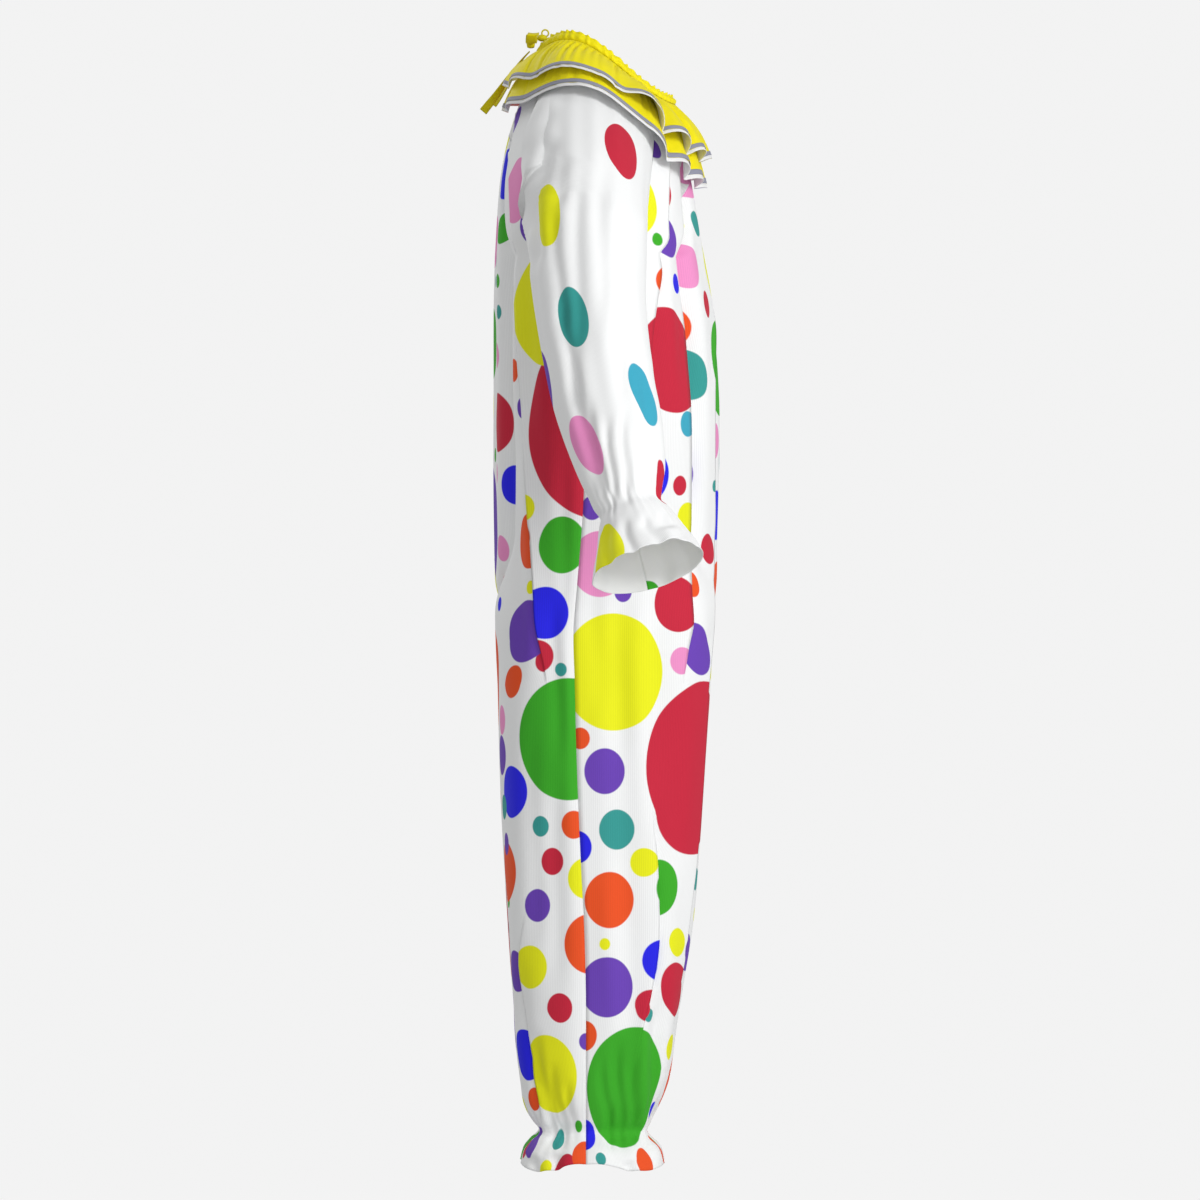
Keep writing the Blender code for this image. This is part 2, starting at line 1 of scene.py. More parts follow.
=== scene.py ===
"""Clown costume: the finished cloth, ruffles and ribbon of a one-piece clown suit, made around its frame.

The wearer faces -Y, the wearer's right is at -X, and the origin is the middle of the neck opening. Every
panel of cloth is a fine grid laid on its surface, with folds, gathers and creases, and then thickened.
"""

import math
from collections import namedtuple

import bmesh
import bpy
import numpy as np
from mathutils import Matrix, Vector


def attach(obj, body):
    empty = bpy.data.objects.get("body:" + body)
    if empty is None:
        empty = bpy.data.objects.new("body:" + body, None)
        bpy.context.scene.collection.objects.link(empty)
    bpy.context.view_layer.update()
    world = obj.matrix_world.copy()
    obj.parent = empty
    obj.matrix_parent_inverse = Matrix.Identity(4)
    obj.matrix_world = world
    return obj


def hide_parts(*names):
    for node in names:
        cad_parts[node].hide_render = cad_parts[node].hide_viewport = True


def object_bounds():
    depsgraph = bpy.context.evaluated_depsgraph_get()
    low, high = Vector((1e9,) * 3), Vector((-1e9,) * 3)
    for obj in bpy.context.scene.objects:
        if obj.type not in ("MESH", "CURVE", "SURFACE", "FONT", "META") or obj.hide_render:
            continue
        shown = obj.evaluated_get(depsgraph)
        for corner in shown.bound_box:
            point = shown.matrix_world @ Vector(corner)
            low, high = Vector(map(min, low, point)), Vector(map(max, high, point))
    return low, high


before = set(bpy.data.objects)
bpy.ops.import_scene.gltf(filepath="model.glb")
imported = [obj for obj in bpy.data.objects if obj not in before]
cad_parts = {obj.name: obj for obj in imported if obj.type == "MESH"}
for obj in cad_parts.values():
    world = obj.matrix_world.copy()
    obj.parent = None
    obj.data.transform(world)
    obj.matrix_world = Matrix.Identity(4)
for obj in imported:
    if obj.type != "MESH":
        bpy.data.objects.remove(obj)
FRAME_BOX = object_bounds()

bl_info = {
    "name": "Clown costume",
    "version": (1, 0, 0),
    "blender": (4, 5, 0),
    "location": "View3D > Sidebar > Costume",
    "description": "Makes a one-piece clown costume with a ruffled collar",
    "category": "Object",
}

MM = 0.001
VIEW_AWAY = 40.0  # distance of the camera, which looks at the wearer's right side
VIEW_SPAN = 1.5  # height of what it sees
VIEW_Y = 0.005
VIEW_Z = -0.665
FLOOR = 50.0  # radius of the flat part of the floor
FLOOR_BELOW = 0.12  # it lies this far under the hems
CURVE = 3.0  # radius of the curve from the floor up to the backdrop
CURVE_STEPS = 12
BACKDROP = 40.0
STEP = 1e-3  # the least share that anything is divided by
FACING = {"front": -1, "back": 1, "sleeve": -1, "tier": 1, "casing": -1}

# ---------------------------------------------------------------------------------------------------
# The form of the costume: the frame's own sections, but for the side seam beside the waist, which lies
# up to 12 mm further forward, and the gap between the two halves, which is wider.

NECK_HALF_WIDTH = 0.085
NECK_HALF_DEPTH = 0.0825
NECK_MIDDLE_Y = -0.0025
NECK_HEIGHTS = (0.01125, -0.0395, -0.01375, 0.008)  # cosine terms of the neck ring's height
Edge = namedtuple("Edge", "out down")
CASING_TOP = Edge(0.0, 0.0)
CASING_FOOT = Edge(0.004, 0.012)
UPPER_SEWN = Edge(0.0048, 0.0126)
LOWER_SEWN = Edge(0.0048, 0.0158)
BODY_SEWN = Edge(0.0048, 0.0196)
RAGLAN_FRONT = math.radians(43)
RAGLAN_BACK = math.radians(137)
NECK_PULL = 0.6  # level at which the neck ring has stopped drawing the rows onto itself
CASING_END = math.radians(177)

UNDERARM = -0.236
ARM_SPREAD = math.radians(25.8)
SLEEVE_CLEAR = 0.0005

# The shoulder part of a sleeve, from the neck (0) to the underarm (1).
Cap = namedtuple("Cap", "at mid_x mid_y mid_z top_x top_y top_z half closed tilt")
CAP = (
    Cap(0.00, -0.060, -0.0025, -0.009, -0.0898, -0.0025, 0.005, 0.0729, 0, 27.8),
    Cap(0.20, -0.096, 0.009, -0.060, -0.138, 0.005, -0.024, 0.0785, 0, 21.0),
    Cap(0.40, -0.132, 0.0165, -0.1000, -0.192, 0.012, -0.055, 0.0810, 3, 17.0),
    Cap(0.60, -0.1605, 0.0210, -0.1400, -0.240, 0.015, -0.087, 0.0795, 8, 13.0),
    Cap(0.80, -0.1845, 0.0215, -0.1815, -0.283, 0.018, -0.125, 0.0765, 23, 9.0),
    Cap(0.90, -0.196, 0.0215, -0.2085, -0.303, 0.019, -0.152, 0.0752, 44, 5.0),
    Cap(1.00, -0.206, 0.0210, UNDERARM, -0.322, 0.020, -0.180, 0.0745, 90, 0.0),
)

# The sleeve below the underarm, down to the hem of its frill (2).
Ring = namedtuple("Ring", "at x y z front side lean")
SLEEVE = (
    Ring(1.00, -0.264, 0.0205, -0.208, 0.0745, 0.0644, 0),
    Ring(1.22, -0.308, 0.0155, -0.302, 0.0690, 0.0625, 4),
    Ring(1.36, -0.335, 0.0080, -0.361, 0.0665, 0.0610, 8),
    Ring(1.47, -0.358, -0.0005, -0.410, 0.0650, 0.0600, 11),
    Ring(1.57, -0.378, -0.0105, -0.452, 0.0620, 0.0580, 13),
    Ring(1.65, -0.393, -0.0180, -0.484, 0.0575, 0.0540, 14),
    Ring(1.73, -0.408, -0.0255, -0.517, 0.0510, 0.0480, 15),
    Ring(1.78, -0.419, -0.0290, -0.540, 0.0440, 0.0420, 16),
    Ring(1.81, -0.425, -0.0330, -0.553, 0.0395, 0.0380, 17),
    Ring(1.84, -0.4305, -0.0370, -0.565, 0.0460, 0.0430, 17),
    Ring(1.90, -0.442, -0.0450, -0.590, 0.0570, 0.0520, 17),
    Ring(1.96, -0.452, -0.0510, -0.612, 0.0665, 0.0600, 16),
    Ring(2.00, -0.4585, -0.0540, -0.625, 0.0710, 0.0640, 15),
)
WRIST = 1.81  # where the sleeve's elastic is

# The middle lines of the body from the neck (0) to the underarm (1).
Yoke = namedtuple("Yoke", "at front_y front_z back_y back_z turn")
YOKE = (
    Yoke(0.00, -0.0898, -0.0536, 0.0848, 0.0094, 43),
    Yoke(0.20, -0.0980, -0.0880, 0.1030, -0.0370, 42),
    Yoke(0.40, -0.1050, -0.1240, 0.1190, -0.0850, 45),
    Yoke(0.60, -0.1125, -0.1610, 0.1290, -0.1340, 50),
    Yoke(0.80, -0.1185, -0.1980, 0.1335, -0.1850, 62),
    Yoke(0.90, -0.1215, -0.2165, 0.1350, -0.2105, 74),
    Yoke(1.00, -0.1250, UNDERARM, 0.1365, UNDERARM, 90),
)

# The body and a leg below the underarm, down to the hem of the ankle's frill.
Section = namedtuple("Section", "drop front back outer inner outseam inseam")
SECTIONS = (
    Section(0.000, -0.1250, 0.1365, 0.206, 0.0004, 0.0210, 0.005),
    Section(0.055, -0.1340, 0.1375, 0.211, 0.0004, 0.0290, 0.005),
    Section(0.155, -0.1425, 0.1375, 0.216, 0.0004, 0.0270, 0.005),
    Section(0.305, -0.1425, 0.1375, 0.220, 0.0004, 0.0255, 0.005),
    Section(0.405, -0.1390, 0.1355, 0.223, 0.0004, 0.0330, 0.005),
    Section(0.470, -0.1350, 0.1340, 0.224, 0.0006, 0.0380, 0.006),
    Section(0.530, -0.1325, 0.1325, 0.224, 0.0040, 0.0365, 0.007),
    Section(0.630, -0.1260, 0.1300, 0.223, 0.0130, 0.0340, 0.008),
    Section(0.730, -0.1195, 0.1260, 0.221, 0.0240, 0.0300, 0.009),
    Section(0.855, -0.1075, 0.1190, 0.217, 0.0400, 0.0240, 0.010),
    Section(0.930, -0.0950, 0.1140, 0.213, 0.0500, 0.0225, 0.011),
    Section(0.980, -0.0875, 0.1110, 0.209, 0.0580, 0.0225, 0.012),
    Section(1.030, -0.0800, 0.1050, 0.203, 0.0660, 0.0225, 0.013),
    Section(1.060, -0.0700, 0.1000, 0.197, 0.0740, 0.0225, 0.014),
    Section(1.080, -0.0600, 0.0900, 0.190, 0.0820, 0.0225, 0.015),
    Section(1.091, -0.0550, 0.0825, 0.186, 0.0860, 0.0225, 0.015),
    Section(1.103, -0.0620, 0.0920, 0.193, 0.0790, 0.0225, 0.015),
    Section(1.115, -0.0700, 0.0990, 0.202, 0.0700, 0.0225, 0.015),
    Section(1.139, -0.0760, 0.1050, 0.213, 0.0590, 0.0225, 0.015),
)
ANKLE = 2.091  # level of the ankle's elastic
CROTCH_TOP = 0.345
CROTCH = 0.470
BODY_ROUND = 2.3
HALF_GAP = 0.0006  # the left and right halves keep this far from the middle plane

Fold = namedtuple("Fold", "panel across width depth top bottom")
FOLDS = (
    Fold("front", 0.36, 0.085, 0.017, 0.35, 1.44),
    Fold("back", 0.34, 0.090, 0.013, 0.30, 1.55),
)
FOLD_FADE = 0.16

# Lower edges of the two collar tiers, from the front (0) to the back (180 degrees).
Rim = namedtuple("Rim", "angle height")
UPPER_RIM = (
    Rim(0, -0.116), Rim(20, -0.111), Rim(35, -0.101), Rim(47, -0.085), Rim(58, -0.063),
    Rim(66, -0.046), Rim(75, -0.035), Rim(90, -0.012), Rim(100, -0.006), Rim(115, -0.003),
    Rim(130, -0.009), Rim(145, -0.016), Rim(180, -0.024),
)  # fmt: skip
LOWER_RIM = (
    Rim(0, -0.152), Rim(20, -0.143), Rim(36, -0.128), Rim(50, -0.106), Rim(60, -0.084),
    Rim(73, -0.058), Rim(90, -0.032), Rim(103, -0.025), Rim(115, -0.027), Rim(129, -0.034),
    Rim(152, -0.047), Rim(180, -0.055),
)  # fmt: skip
# The flutes of a tier, from the front to the back of one side: phase is whole on a crest and half
# in a valley, height and swing are how far the rim stands out and leans sideways, in mm.
Flute = namedtuple("Flute", "angle phase height swing")
UPPER_FLUTES = (
    Flute(0, 0.0, 6, 0), Flute(14, 0.5, 9, 7), Flute(24, 1.0, 10, 8), Flute(33, 1.5, 12, 9),
    Flute(43, 2.0, 12, 10), Flute(54, 2.5, 13, 12), Flute(68, 3.0, 9, 9), Flute(88, 3.5, 3, 2),
    Flute(112, 4.0, 3, 2), Flute(135, 4.5, 4, 3), Flute(150, 5.0, 5, 4), Flute(164, 5.5, 5, 4),
    Flute(180, 6.0, 4, 2),
)  # fmt: skip
LOWER_FLUTES = (
    Flute(0, 0.0, 6, 0), Flute(11, 0.5, 8, 6), Flute(20, 1.0, 9, 8), Flute(29, 1.5, 10, 8),
    Flute(38, 2.0, 10, 8), Flute(48, 2.5, 7, 6), Flute(60, 3.0, 4, 3), Flute(84, 3.5, 2, 1),
    Flute(112, 4.0, 2, 1), Flute(138, 4.5, 3, 2), Flute(158, 5.0, 5, 4), Flute(170, 5.5, 5, 4),
    Flute(180, 6.0, 4, 2),
)  # fmt: skip
Tier = namedtuple("Tier", "sewn rim flutes half_width half_depth middle bulge slit")
UPPER = Tier(UPPER_SEWN, UPPER_RIM, UPPER_FLUTES, 0.173, 0.1290, -0.0010, 0.007, 7)
LOWER = Tier(LOWER_SEWN, LOWER_RIM, LOWER_FLUTES, 0.186, 0.1250, 0.0015, 0.006, 3)
FLARE = 1.5  # power by which the flutes grow from the neck to the rim
BAND = (0.885, 0.950)  # the grey band on a tier, from the neck (0) to the rim (1)
BAND_LIFT = 0.0004

# The ribbon: its knot, the routes of its two tails, and its two loops.
RIBBON_WIDTH = 0.013
KNOT = Vector((0.0, 0.0915, 0.0310))
KNOT_SIZE = Vector((0.013, 0.010, 0.012))
RING = Vector((0.0, 0.0735, 0.0435))  # the small loop that stands up out of the knot
RING_RADIUS = 0.0042
RING_THICK = 0.0010
RING_WIDE = 0.0035
RING_TURNS = 36
RING_SIDES = 10
TURN = Vector((0.0, 0.0775, 0.0375))  # a turn of the ribbon beside the knot
TURN_SIZE = Vector((0.0070, 0.0065, 0.0045))
RIGHT_TAIL = (
    (-0.0075, 0.0930, 0.0205), (-0.0080, 0.1010, 0.0120), (-0.0085, 0.1090, 0.0015),
    (-0.0090, 0.1175, -0.0100), (-0.0095, 0.1265, -0.0230), (-0.0100, 0.1350, -0.0350),
    (-0.0105, 0.1430, -0.0450), (-0.0110, 0.1510, -0.0550),
)  # fmt: skip
LEFT_TAIL = (
    (0.0075, 0.0930, 0.0205), (0.0080, 0.1005, 0.0120), (0.0085, 0.1080, 0.0010),
    (0.0090, 0.1160, -0.0110), (0.0095, 0.1240, -0.0235), (0.0100, 0.1320, -0.0360),
    (0.0105, 0.1390, -0.0460),
)  # fmt: skip
TAIL_TWIST = math.radians(50)
RIGHT_LOOP = Vector((-0.90, -0.05, 0.30))
LEFT_LOOP = Vector((0.90, -0.15, 0.42))
LOOP_START = Vector((0.0080, 0.0915, 0.0330))
LOOP_LENGTH = 0.026
LOOP_HEIGHT = 0.013
LOOP_PINCH = 0.35
LOOP_LIFT = 0.08
LOOP_TURNS = 14

# ---------------------------------------------------------------------------------------------------
# Folds, creases and dots. They are charted as a tailor would chalk them on the worn costume's side:
# forward of the middle of the neck opening and down from it, in mm.

# A pressed-over fold runs down a panel and hides some of the cloth under its lip.
Lip = namedtuple("Lip", "down forward hidden")
LIPS = {
    "front": (
        (
            Lip(100, 128, 0), Lip(250, 133, 8), Lip(330, 137, 22), Lip(600, 137, 26),
            Lip(715, 134, 24), Lip(765, 128, 22), Lip(884, 123, 22), Lip(984, 115, 20),
            Lip(1077, 104, 16), Lip(1130, 99, 12), Lip(1200, 86, 0), Lip(1400, 70, 0),
        ),
        (
            Lip(90, 100, 10), Lip(150, 106, 26), Lip(330, 106, 36), Lip(600, 106, 34),
            Lip(715, 104, 22), Lip(770, 97, 0), Lip(990, 86, 0), Lip(1400, 45, 0),
        ),
        (
            Lip(90, 84, 30), Lip(125, 77, 62), Lip(175, 75.5, 62), Lip(206, 74, 44),
            Lip(236, 71, 34), Lip(290, 62, 24), Lip(350, 57, 14), Lip(420, 52, 0), Lip(930, 58, 0),
            Lip(985, 62, 26), Lip(1061, 64, 34), Lip(1115, 64, 30), Lip(1150, 56, 22),
            Lip(1190, 47, 14), Lip(1250, 38, 0), Lip(1400, 25, 0),
        ),
    ),
    "back": (
        (
            Lip(40, -116, 0), Lip(90, -118, 10), Lip(150, -118, 14), Lip(200, -115, 14),
            Lip(365, -107, 20), Lip(590, -89, 26), Lip(715, -79, 22), Lip(770, -70, 0),
            Lip(1060, -98, 0), Lip(1102, -105, 12), Lip(1155, -104, 16), Lip(1209, -95, 16),
            Lip(1265, -89, 14), Lip(1305, -80, 8), Lip(1340, -76, 0), Lip(1400, -76, 0),
        ),
    ),
    "sleeve": (
        (
            Lip(0, -60, 0), Lip(110, -80, 6), Lip(152, -85, 24), Lip(222, -85, 30),
            Lip(290, -62, 26), Lip(346, -60, 24), Lip(452, -42, 18), Lip(502, -26, 0),
            Lip(620, -5, 0), Lip(700, -5, 0),
        ),
    ),
}  # fmt: skip
LIP_RISE = 0.11  # a lip stands this share of its hidden cloth above the panel
LIP_OVERLAP = 0.16  # and reaches this share of it over the cloth below
LIP_SPREAD = 0.014
LIP_MOST = 0.004  # no lip stands higher than this, nor reaches over further
SEAM_REACH = 0.014  # folds fade out this near a seam
LIP_HALF = 0.0006  # half the width of the column of cloth that turns under
LIP_APART = 0.03  # least share of a row between two folds, or a fold and a seam
LIP_TRIALS = 160  # places tried across a row
LIP_SMOOTH = 9  # rows over which a fold's line is evened out

# A soft trough (depth above 0) or ridge (below 0) between two places, in mm.
Crease = namedtuple("Crease", "forward down to_forward to_down width depth")
CREASES = {
    "sleeve": (
        Crease(-66, 50, -98, 120, 10, 3.5), Crease(-98, 120, -103, 215, 9, 4.0),
        Crease(-62, 90, -86, 150, 9, 3.5), Crease(-86, 150, -90, 250, 8, 3.5),
        Crease(-50, 110, -62, 170, 10, 2.5), Crease(-62, 170, -58, 330, 9, 3.0),
        Crease(-30, 130, -38, 380, 10, 2.2), Crease(-38, 380, -12, 540, 8, 3.2),
        Crease(-6, 120, 0, 300, 12, 1.8), Crease(10, 150, 2, 350, 9, -1.4),
        Crease(24, 190, 20, 420, 10, 1.6), Crease(46, 160, 40, 400, 12, 1.5),
        Crease(-52, 290, -40, 420, 8, 3.2), Crease(-18, 420, -2, 545, 7, 2.6),
        Crease(4, 440, 10, 548, 6, 2.6), Crease(26, 430, 26, 545, 6, 2.4),
        Crease(58, 380, 56, 520, 9, 1.8), Crease(6, 568, 0, 640, 7, 2.4),
        Crease(26, 562, 38, 625, 7, 2.8), Crease(50, 560, 72, 600, 8, 2.6),
        Crease(70, 556, 104, 590, 9, 1.8), Crease(84, 572, 84, 606, 14, -4.0),
    ),
    "front": (
        Crease(100, 140, 96, 420, 14, 2.6), Crease(84, 170, 88, 520, 12, -1.8),
        Crease(118, 210, 122, 640, 9, 2.2), Crease(70, 640, 62, 900, 14, 2.2),
        Crease(40, 690, 44, 980, 16, -1.6), Crease(20, 660, 18, 860, 14, 1.6),
        Crease(-12, 640, -6, 800, 14, 1.8), Crease(96, 800, 86, 1010, 14, 1.8),
        Crease(30, 960, 34, 1200, 15, 1.5), Crease(4, 1010, 12, 1250, 13, -1.2),
        Crease(74, 1160, 58, 1345, 9, 3.0), Crease(58, 1150, 42, 1345, 8, -1.8),
        Crease(40, 1230, 34, 1348, 7, 3.0), Crease(18, 1215, 22, 1350, 7, 2.4),
        Crease(-2, 1240, 8, 1350, 6, 2.2), Crease(34, 1368, 38, 1392, 8, 3.0),
    ),
    "back": (
        Crease(-96, 150, -98, 460, 12, 2.6), Crease(-70, 330, -66, 560, 14, -1.8),
        Crease(-50, 480, -46, 700, 14, 2.2), Crease(-112, 420, -108, 760, 10, 2.4),
        Crease(-62, 660, -56, 860, 12, 2.0), Crease(-34, 700, -40, 960, 14, -1.6),
        Crease(-92, 820, -90, 1100, 14, 2.0), Crease(-60, 900, -62, 1150, 14, 1.6),
        Crease(-104, 1130, -84, 1330, 8, 3.2), Crease(-86, 1210, -66, 1345, 7, 3.4),
        Crease(-66, 1250, -52, 1348, 7, 3.0), Crease(-44, 1270, -38, 1350, 6, 2.4),
        Crease(-56, 1360, -66, 1392, 8, 3.2), Crease(-84, 1362, -90, 1385, 8, 2.6),
    ),
}  # fmt: skip

CREASE_SCALE = 1.9
CREASE_BOW = 3.0  # mm that a crease swings to each side of its line
CREASE_OVER = 0.12  # share of its length that it runs on past its ends
CREASE_FADE = 0.35
SLACK_WAVES = 7
SLACK_WIDTHS = (0.05, 0.13)  # metres from one wave of slack cloth to the next
SLACK_LENGTHS = (0.25, 0.70)  # metres down the cloth over which a wave sways

# A printed dot: a place on it, how far its centre lies forward of that place along the cloth, and
# its diameter, in mm. Some centres lie past a seam or under a fold, so only part of the dot shows.
Dot = namedtuple("Dot", "forward down shift size colour")
DOTS = {
    "sleeve": (
        Dot(24, 101, 0, 100, "red"), Dot(-70, 183, -9, 84, "yellow"), Dot(-41, 310, 0, 82, "teal"),
        Dot(52, 406, 0, 78, "cyan"), Dot(-24, 471, 0, 82, "pink"), Dot(70, 526, 6, 66, "red"),
        Dot(6, 604, -6, 88, "yellow"),
    ),
    "front": (
        Dot(59, 98, 0, 30, "purple"), Dot(64, 156, -59, 112, "yellow"),
        Dot(81, 146, -28, 61, "red"), Dot(85, 206, -15, 62, "purple"), Dot(65, 214, 0, 16, "green"),
        Dot(109, 188, -2, 20, "yellow"), Dot(114, 174, 12, 26, "blue"),
        Dot(114, 245, -5, 58, "pink"), Dot(65, 266, 15, 41, "orange"), Dot(93, 269, 0, 25, "blue"),
        Dot(130, 295, 0, 34, "red"), Dot(115, 320, -8, 49, "orange"), Dot(85, 365, -6, 132, "red"),
        Dot(120, 382, 0, 65, "teal"), Dot(98, 445, 7, 32, "cyan"), Dot(109, 435, -6, 26, "yellow"),
        Dot(139, 466, 4, 46, "pink"), Dot(116, 508, -10, 70, "purple"), Dot(94, 522, 0, 25, "red"),
        Dot(78, 508, -28, 65, "blue"), Dot(139, 559, 5, 62, "blue"), Dot(98, 562, 8, 38, "yellow"),
        Dot(107, 569, -4, 28, "green"), Dot(130, 601, 6, 38, "red"), Dot(137, 661, 8, 88, "orange"),
        Dot(85, 670, 8, 70, "red"), Dot(112, 645, -1, 32, "orange"), Dot(24, 655, 0, 25, "purple"),
        Dot(-15, 550, 0, 30, "purple"), Dot(-5, 620, 0, 82, "pink"), Dot(12, 755, 0, 146, "yellow"),
        Dot(116, 726, 0, 66, "purple"), Dot(91, 741, 7, 34, "pink"), Dot(107, 875, 34, 216, "red"),
        Dot(-30, 838, 0, 27, "orange"), Dot(1, 879, 0, 57, "purple"), Dot(16, 952, 0, 50, "teal"),
        Dot(-24, 974, -11, 41, "blue"), Dot(49, 993, 0, 36, "yellow"),
        Dot(7, 1040, 0, 70, "orange"), Dot(78, 1025, -16, 71, "green"),
        Dot(121, 922, 8, 85, "yellow"), Dot(114, 1014, 4, 28, "teal"),
        Dot(1, 1095, 0, 15, "yellow"), Dot(91, 1093, 2, 36, "yellow"),
        Dot(102, 1105, 6, 48, "purple"), Dot(59, 1116, 13, 54, "blue"),
        Dot(4, 1149, 0, 75, "purple"), Dot(44, 1172, 14, 40, "red"), Dot(56, 1184, 0, 17, "teal"),
        Dot(90, 1152, 2, 68, "red"), Dot(-16, 1210, -10, 38, "orange"),
        Dot(29, 1274, 0, 150, "green"), Dot(82, 1224, 6, 32, "yellow"),
        Dot(62, 1306, 5, 24, "blue"), Dot(-17, 1336, -10, 42, "blue"), Dot(-4, 1371, 0, 18, "teal"),
        Dot(51, 1368, 0, 36, "orange"),
    ),
    "back": (
        Dot(-110, 66, 0, 36, "purple"), Dot(-121, 85, -6, 48, "yellow"),
        Dot(-130, 141, -10, 28, "red"), Dot(-112, 153, 5, 82, "pink"),
        Dot(-129, 199, -4, 42, "green"), Dot(-101, 199, 8, 40, "purple"),
        Dot(-99, 302, 42, 140, "yellow"), Dot(-133, 242, -8, 18, "teal"),
        Dot(-134, 293, -10, 28, "purple"), Dot(-116, 378, 4, 29, "orange"),
        Dot(-128, 443, -24, 74, "red"), Dot(-106, 425, 1, 26, "purple"),
        Dot(-80, 446, 96, 237, "red"), Dot(-124, 521, -3, 49, "blue"),
        Dot(-90, 550, -9, 34, "yellow"), Dot(-100, 591, 14, 69, "orange"),
        Dot(-53, 596, 0, 71, "green"), Dot(-133, 649, -12, 31, "red"),
        Dot(-92, 649, 0, 17, "yellow"), Dot(-65, 681, -9, 65, "blue"),
        Dot(-100, 704, 6, 78, "purple"), Dot(-71, 735, -11, 40, "red"),
        Dot(-54, 752, 0, 17, "teal"), Dot(-114, 767, 0, 41, "orange"),
        Dot(-45, 839, 0, 152, "green"), Dot(-126, 815, -10, 37, "pink"),
        Dot(-126, 859, -14, 50, "purple"), Dot(-124, 924, -10, 31, "teal"),
        Dot(-110, 905, -12, 65, "blue"), Dot(-81, 948, 0, 26, "teal"),
        Dot(-38, 946, 0, 35, "orange"), Dot(-122, 970, -6, 28, "purple"),
        Dot(-114, 1005, -28, 75, "orange"), Dot(-66, 992, 0, 34, "red"),
        Dot(-34, 1013, 13, 51, "yellow"), Dot(-85, 1047, 0, 41, "purple"),
        Dot(-119, 1042, -2, 16, "green"), Dot(-35, 1095, 21, 75, "orange"),
        Dot(-111, 1129, 0, 52, "purple"), Dot(-89, 1124, -5, 54, "yellow"),
        Dot(-56, 1175, 0, 37, "red"), Dot(-100, 1234, 0, 64, "blue"),
        Dot(-23, 1217, 0, 21, "purple"), Dot(-68, 1259, 0, 100, "yellow"),
        Dot(-90, 1290, 0, 30, "orange"), Dot(-32, 1323, 0, 15, "green"),
        Dot(-59, 1340, 0, 24, "teal"), Dot(-88, 1345, -4, 40, "purple"),
        Dot(-99, 1355, 0, 30, "red"), Dot(-24, 1366, 0, 46, "orange"), Dot(-50, 1382, 0, 40, "red"),
        Dot(-75, 1377, 0, 24, "yellow"),
    ),
}  # fmt: skip
INSIDE_DOTS = (Dot(66, 680, 0, 84, "green"),)  # on the far side of the wrist's frill
SCATTER_SIZES = (150, 120, 90, 76, 66, 56, 48, 40, 32, 26, 18, 15)  # mm, for the sides without a chart
SCATTER_TRIES = 260  # places tried for each size
SCATTER_GAP = 11  # mm between two dots
SLEEVE_SIZES = (84, 80, 76)
SLEEVE_TRIES = 5
SLEEVE_GAP = 70
DOT_LAYERS = ("dot_over", "dot_under")
SEED = 7
HEM_WAVE = 0.009  # the ankle's hem is this much higher at its seams
HEM_REACH = 0.048  # height of the frill that this takes up
SLEEVE_PUFF = 0.013  # the sleeve stands out over the back panel by this much
PUFF_PLACE = 0.87  # across the sleeve, toward its back seam
PUFF_WIDTH = 0.11
FRILL_TOP = -0.54  # the wrist's frill is below this height

# How much cloth is gathered into each length of a panel, by level.
Fullness = namedtuple("Fullness", "at times")
BODY_FULLNESS = (
    Fullness(0.0, 1.15), Fullness(1.0, 1.13), Fullness(1.94, 1.12), Fullness(2.0, 1.36),
    Fullness(2.03, 1.46), Fullness(2.06, 1.56), Fullness(2.091, 1.70), Fullness(2.115, 1.5),
    Fullness(2.139, 1.35),
)  # fmt: skip
SLEEVE_FULLNESS = (
    Fullness(0.0, 1.9), Fullness(1.6, 1.9), Fullness(1.75, 2.2), Fullness(1.81, 2.7),
    Fullness(1.88, 2.0), Fullness(2.0, 1.5),
)  # fmt: skip

# Gathers where the cloth is drawn in: the level they centre on, how many there are in a whole panel,
# their depth in mm, and how far they reach up and down the panel, in levels.
Gather = namedtuple("Gather", "panel level count depth above below")
GATHERS = (
    Gather("front", 0.0, 26, 1.6, 0.0, 0.30),
    Gather("back", 0.0, 26, 1.6, 0.0, 0.26),
    Gather("sleeve", 0.0, 30, 1.5, 0.0, 0.22),
    Gather("front", ANKLE, 15, 1.7, 0.070, 0.045),
    Gather("back", ANKLE, 15, 1.7, 0.070, 0.045),
    Gather("sleeve", WRIST, 26, 1.7, 0.13, 0.12),
)

BODY_LEVELS = ((0.0, 1.0, 42), (1.0, 1.93, 120), (1.93, 2.139, 74))  # from, to, rows
SLEEVE_LEVELS = ((0.0, 1.0, 52), (1.0, 1.66, 62), (1.66, 2.0, 74))
BODY_COLUMNS = 100
SLEEVE_COLUMNS = 132
TIER_COLUMNS = 420
TIER_PLEATS = 64
PLEAT_DEPTH = 0.0040
PLEAT_START = 0.14
CASING_COLUMNS = 640
CASING_ROWS = 12
CASING_GATHERS = 52
CASING_PUFF = 0.0022


# ---------------------------------------------------------------------------------------------------
# Sizes and colours that a user would change.


class ClothSizes(bpy.types.PropertyGroup):
    """Sizes of the cloth of the body and sleeves."""

    thickness: bpy.props.FloatProperty(
        name="Thickness", description="Thickness of the dotted cloth", default=0.0009, unit="LENGTH"
    )
    rib: bpy.props.FloatProperty(
        name="Rib", description="Spacing of the cloth's upright ribs", default=0.0026, unit="LENGTH"
    )
    seam_dip: bpy.props.FloatProperty(
        name="Seam dip", description="How far a seam is drawn in", default=0.0012, unit="LENGTH"
    )
    wrinkle: bpy.props.FloatProperty(
        name="Wrinkle", description="Height of the cloth's slack", default=0.0011, unit="LENGTH"
    )


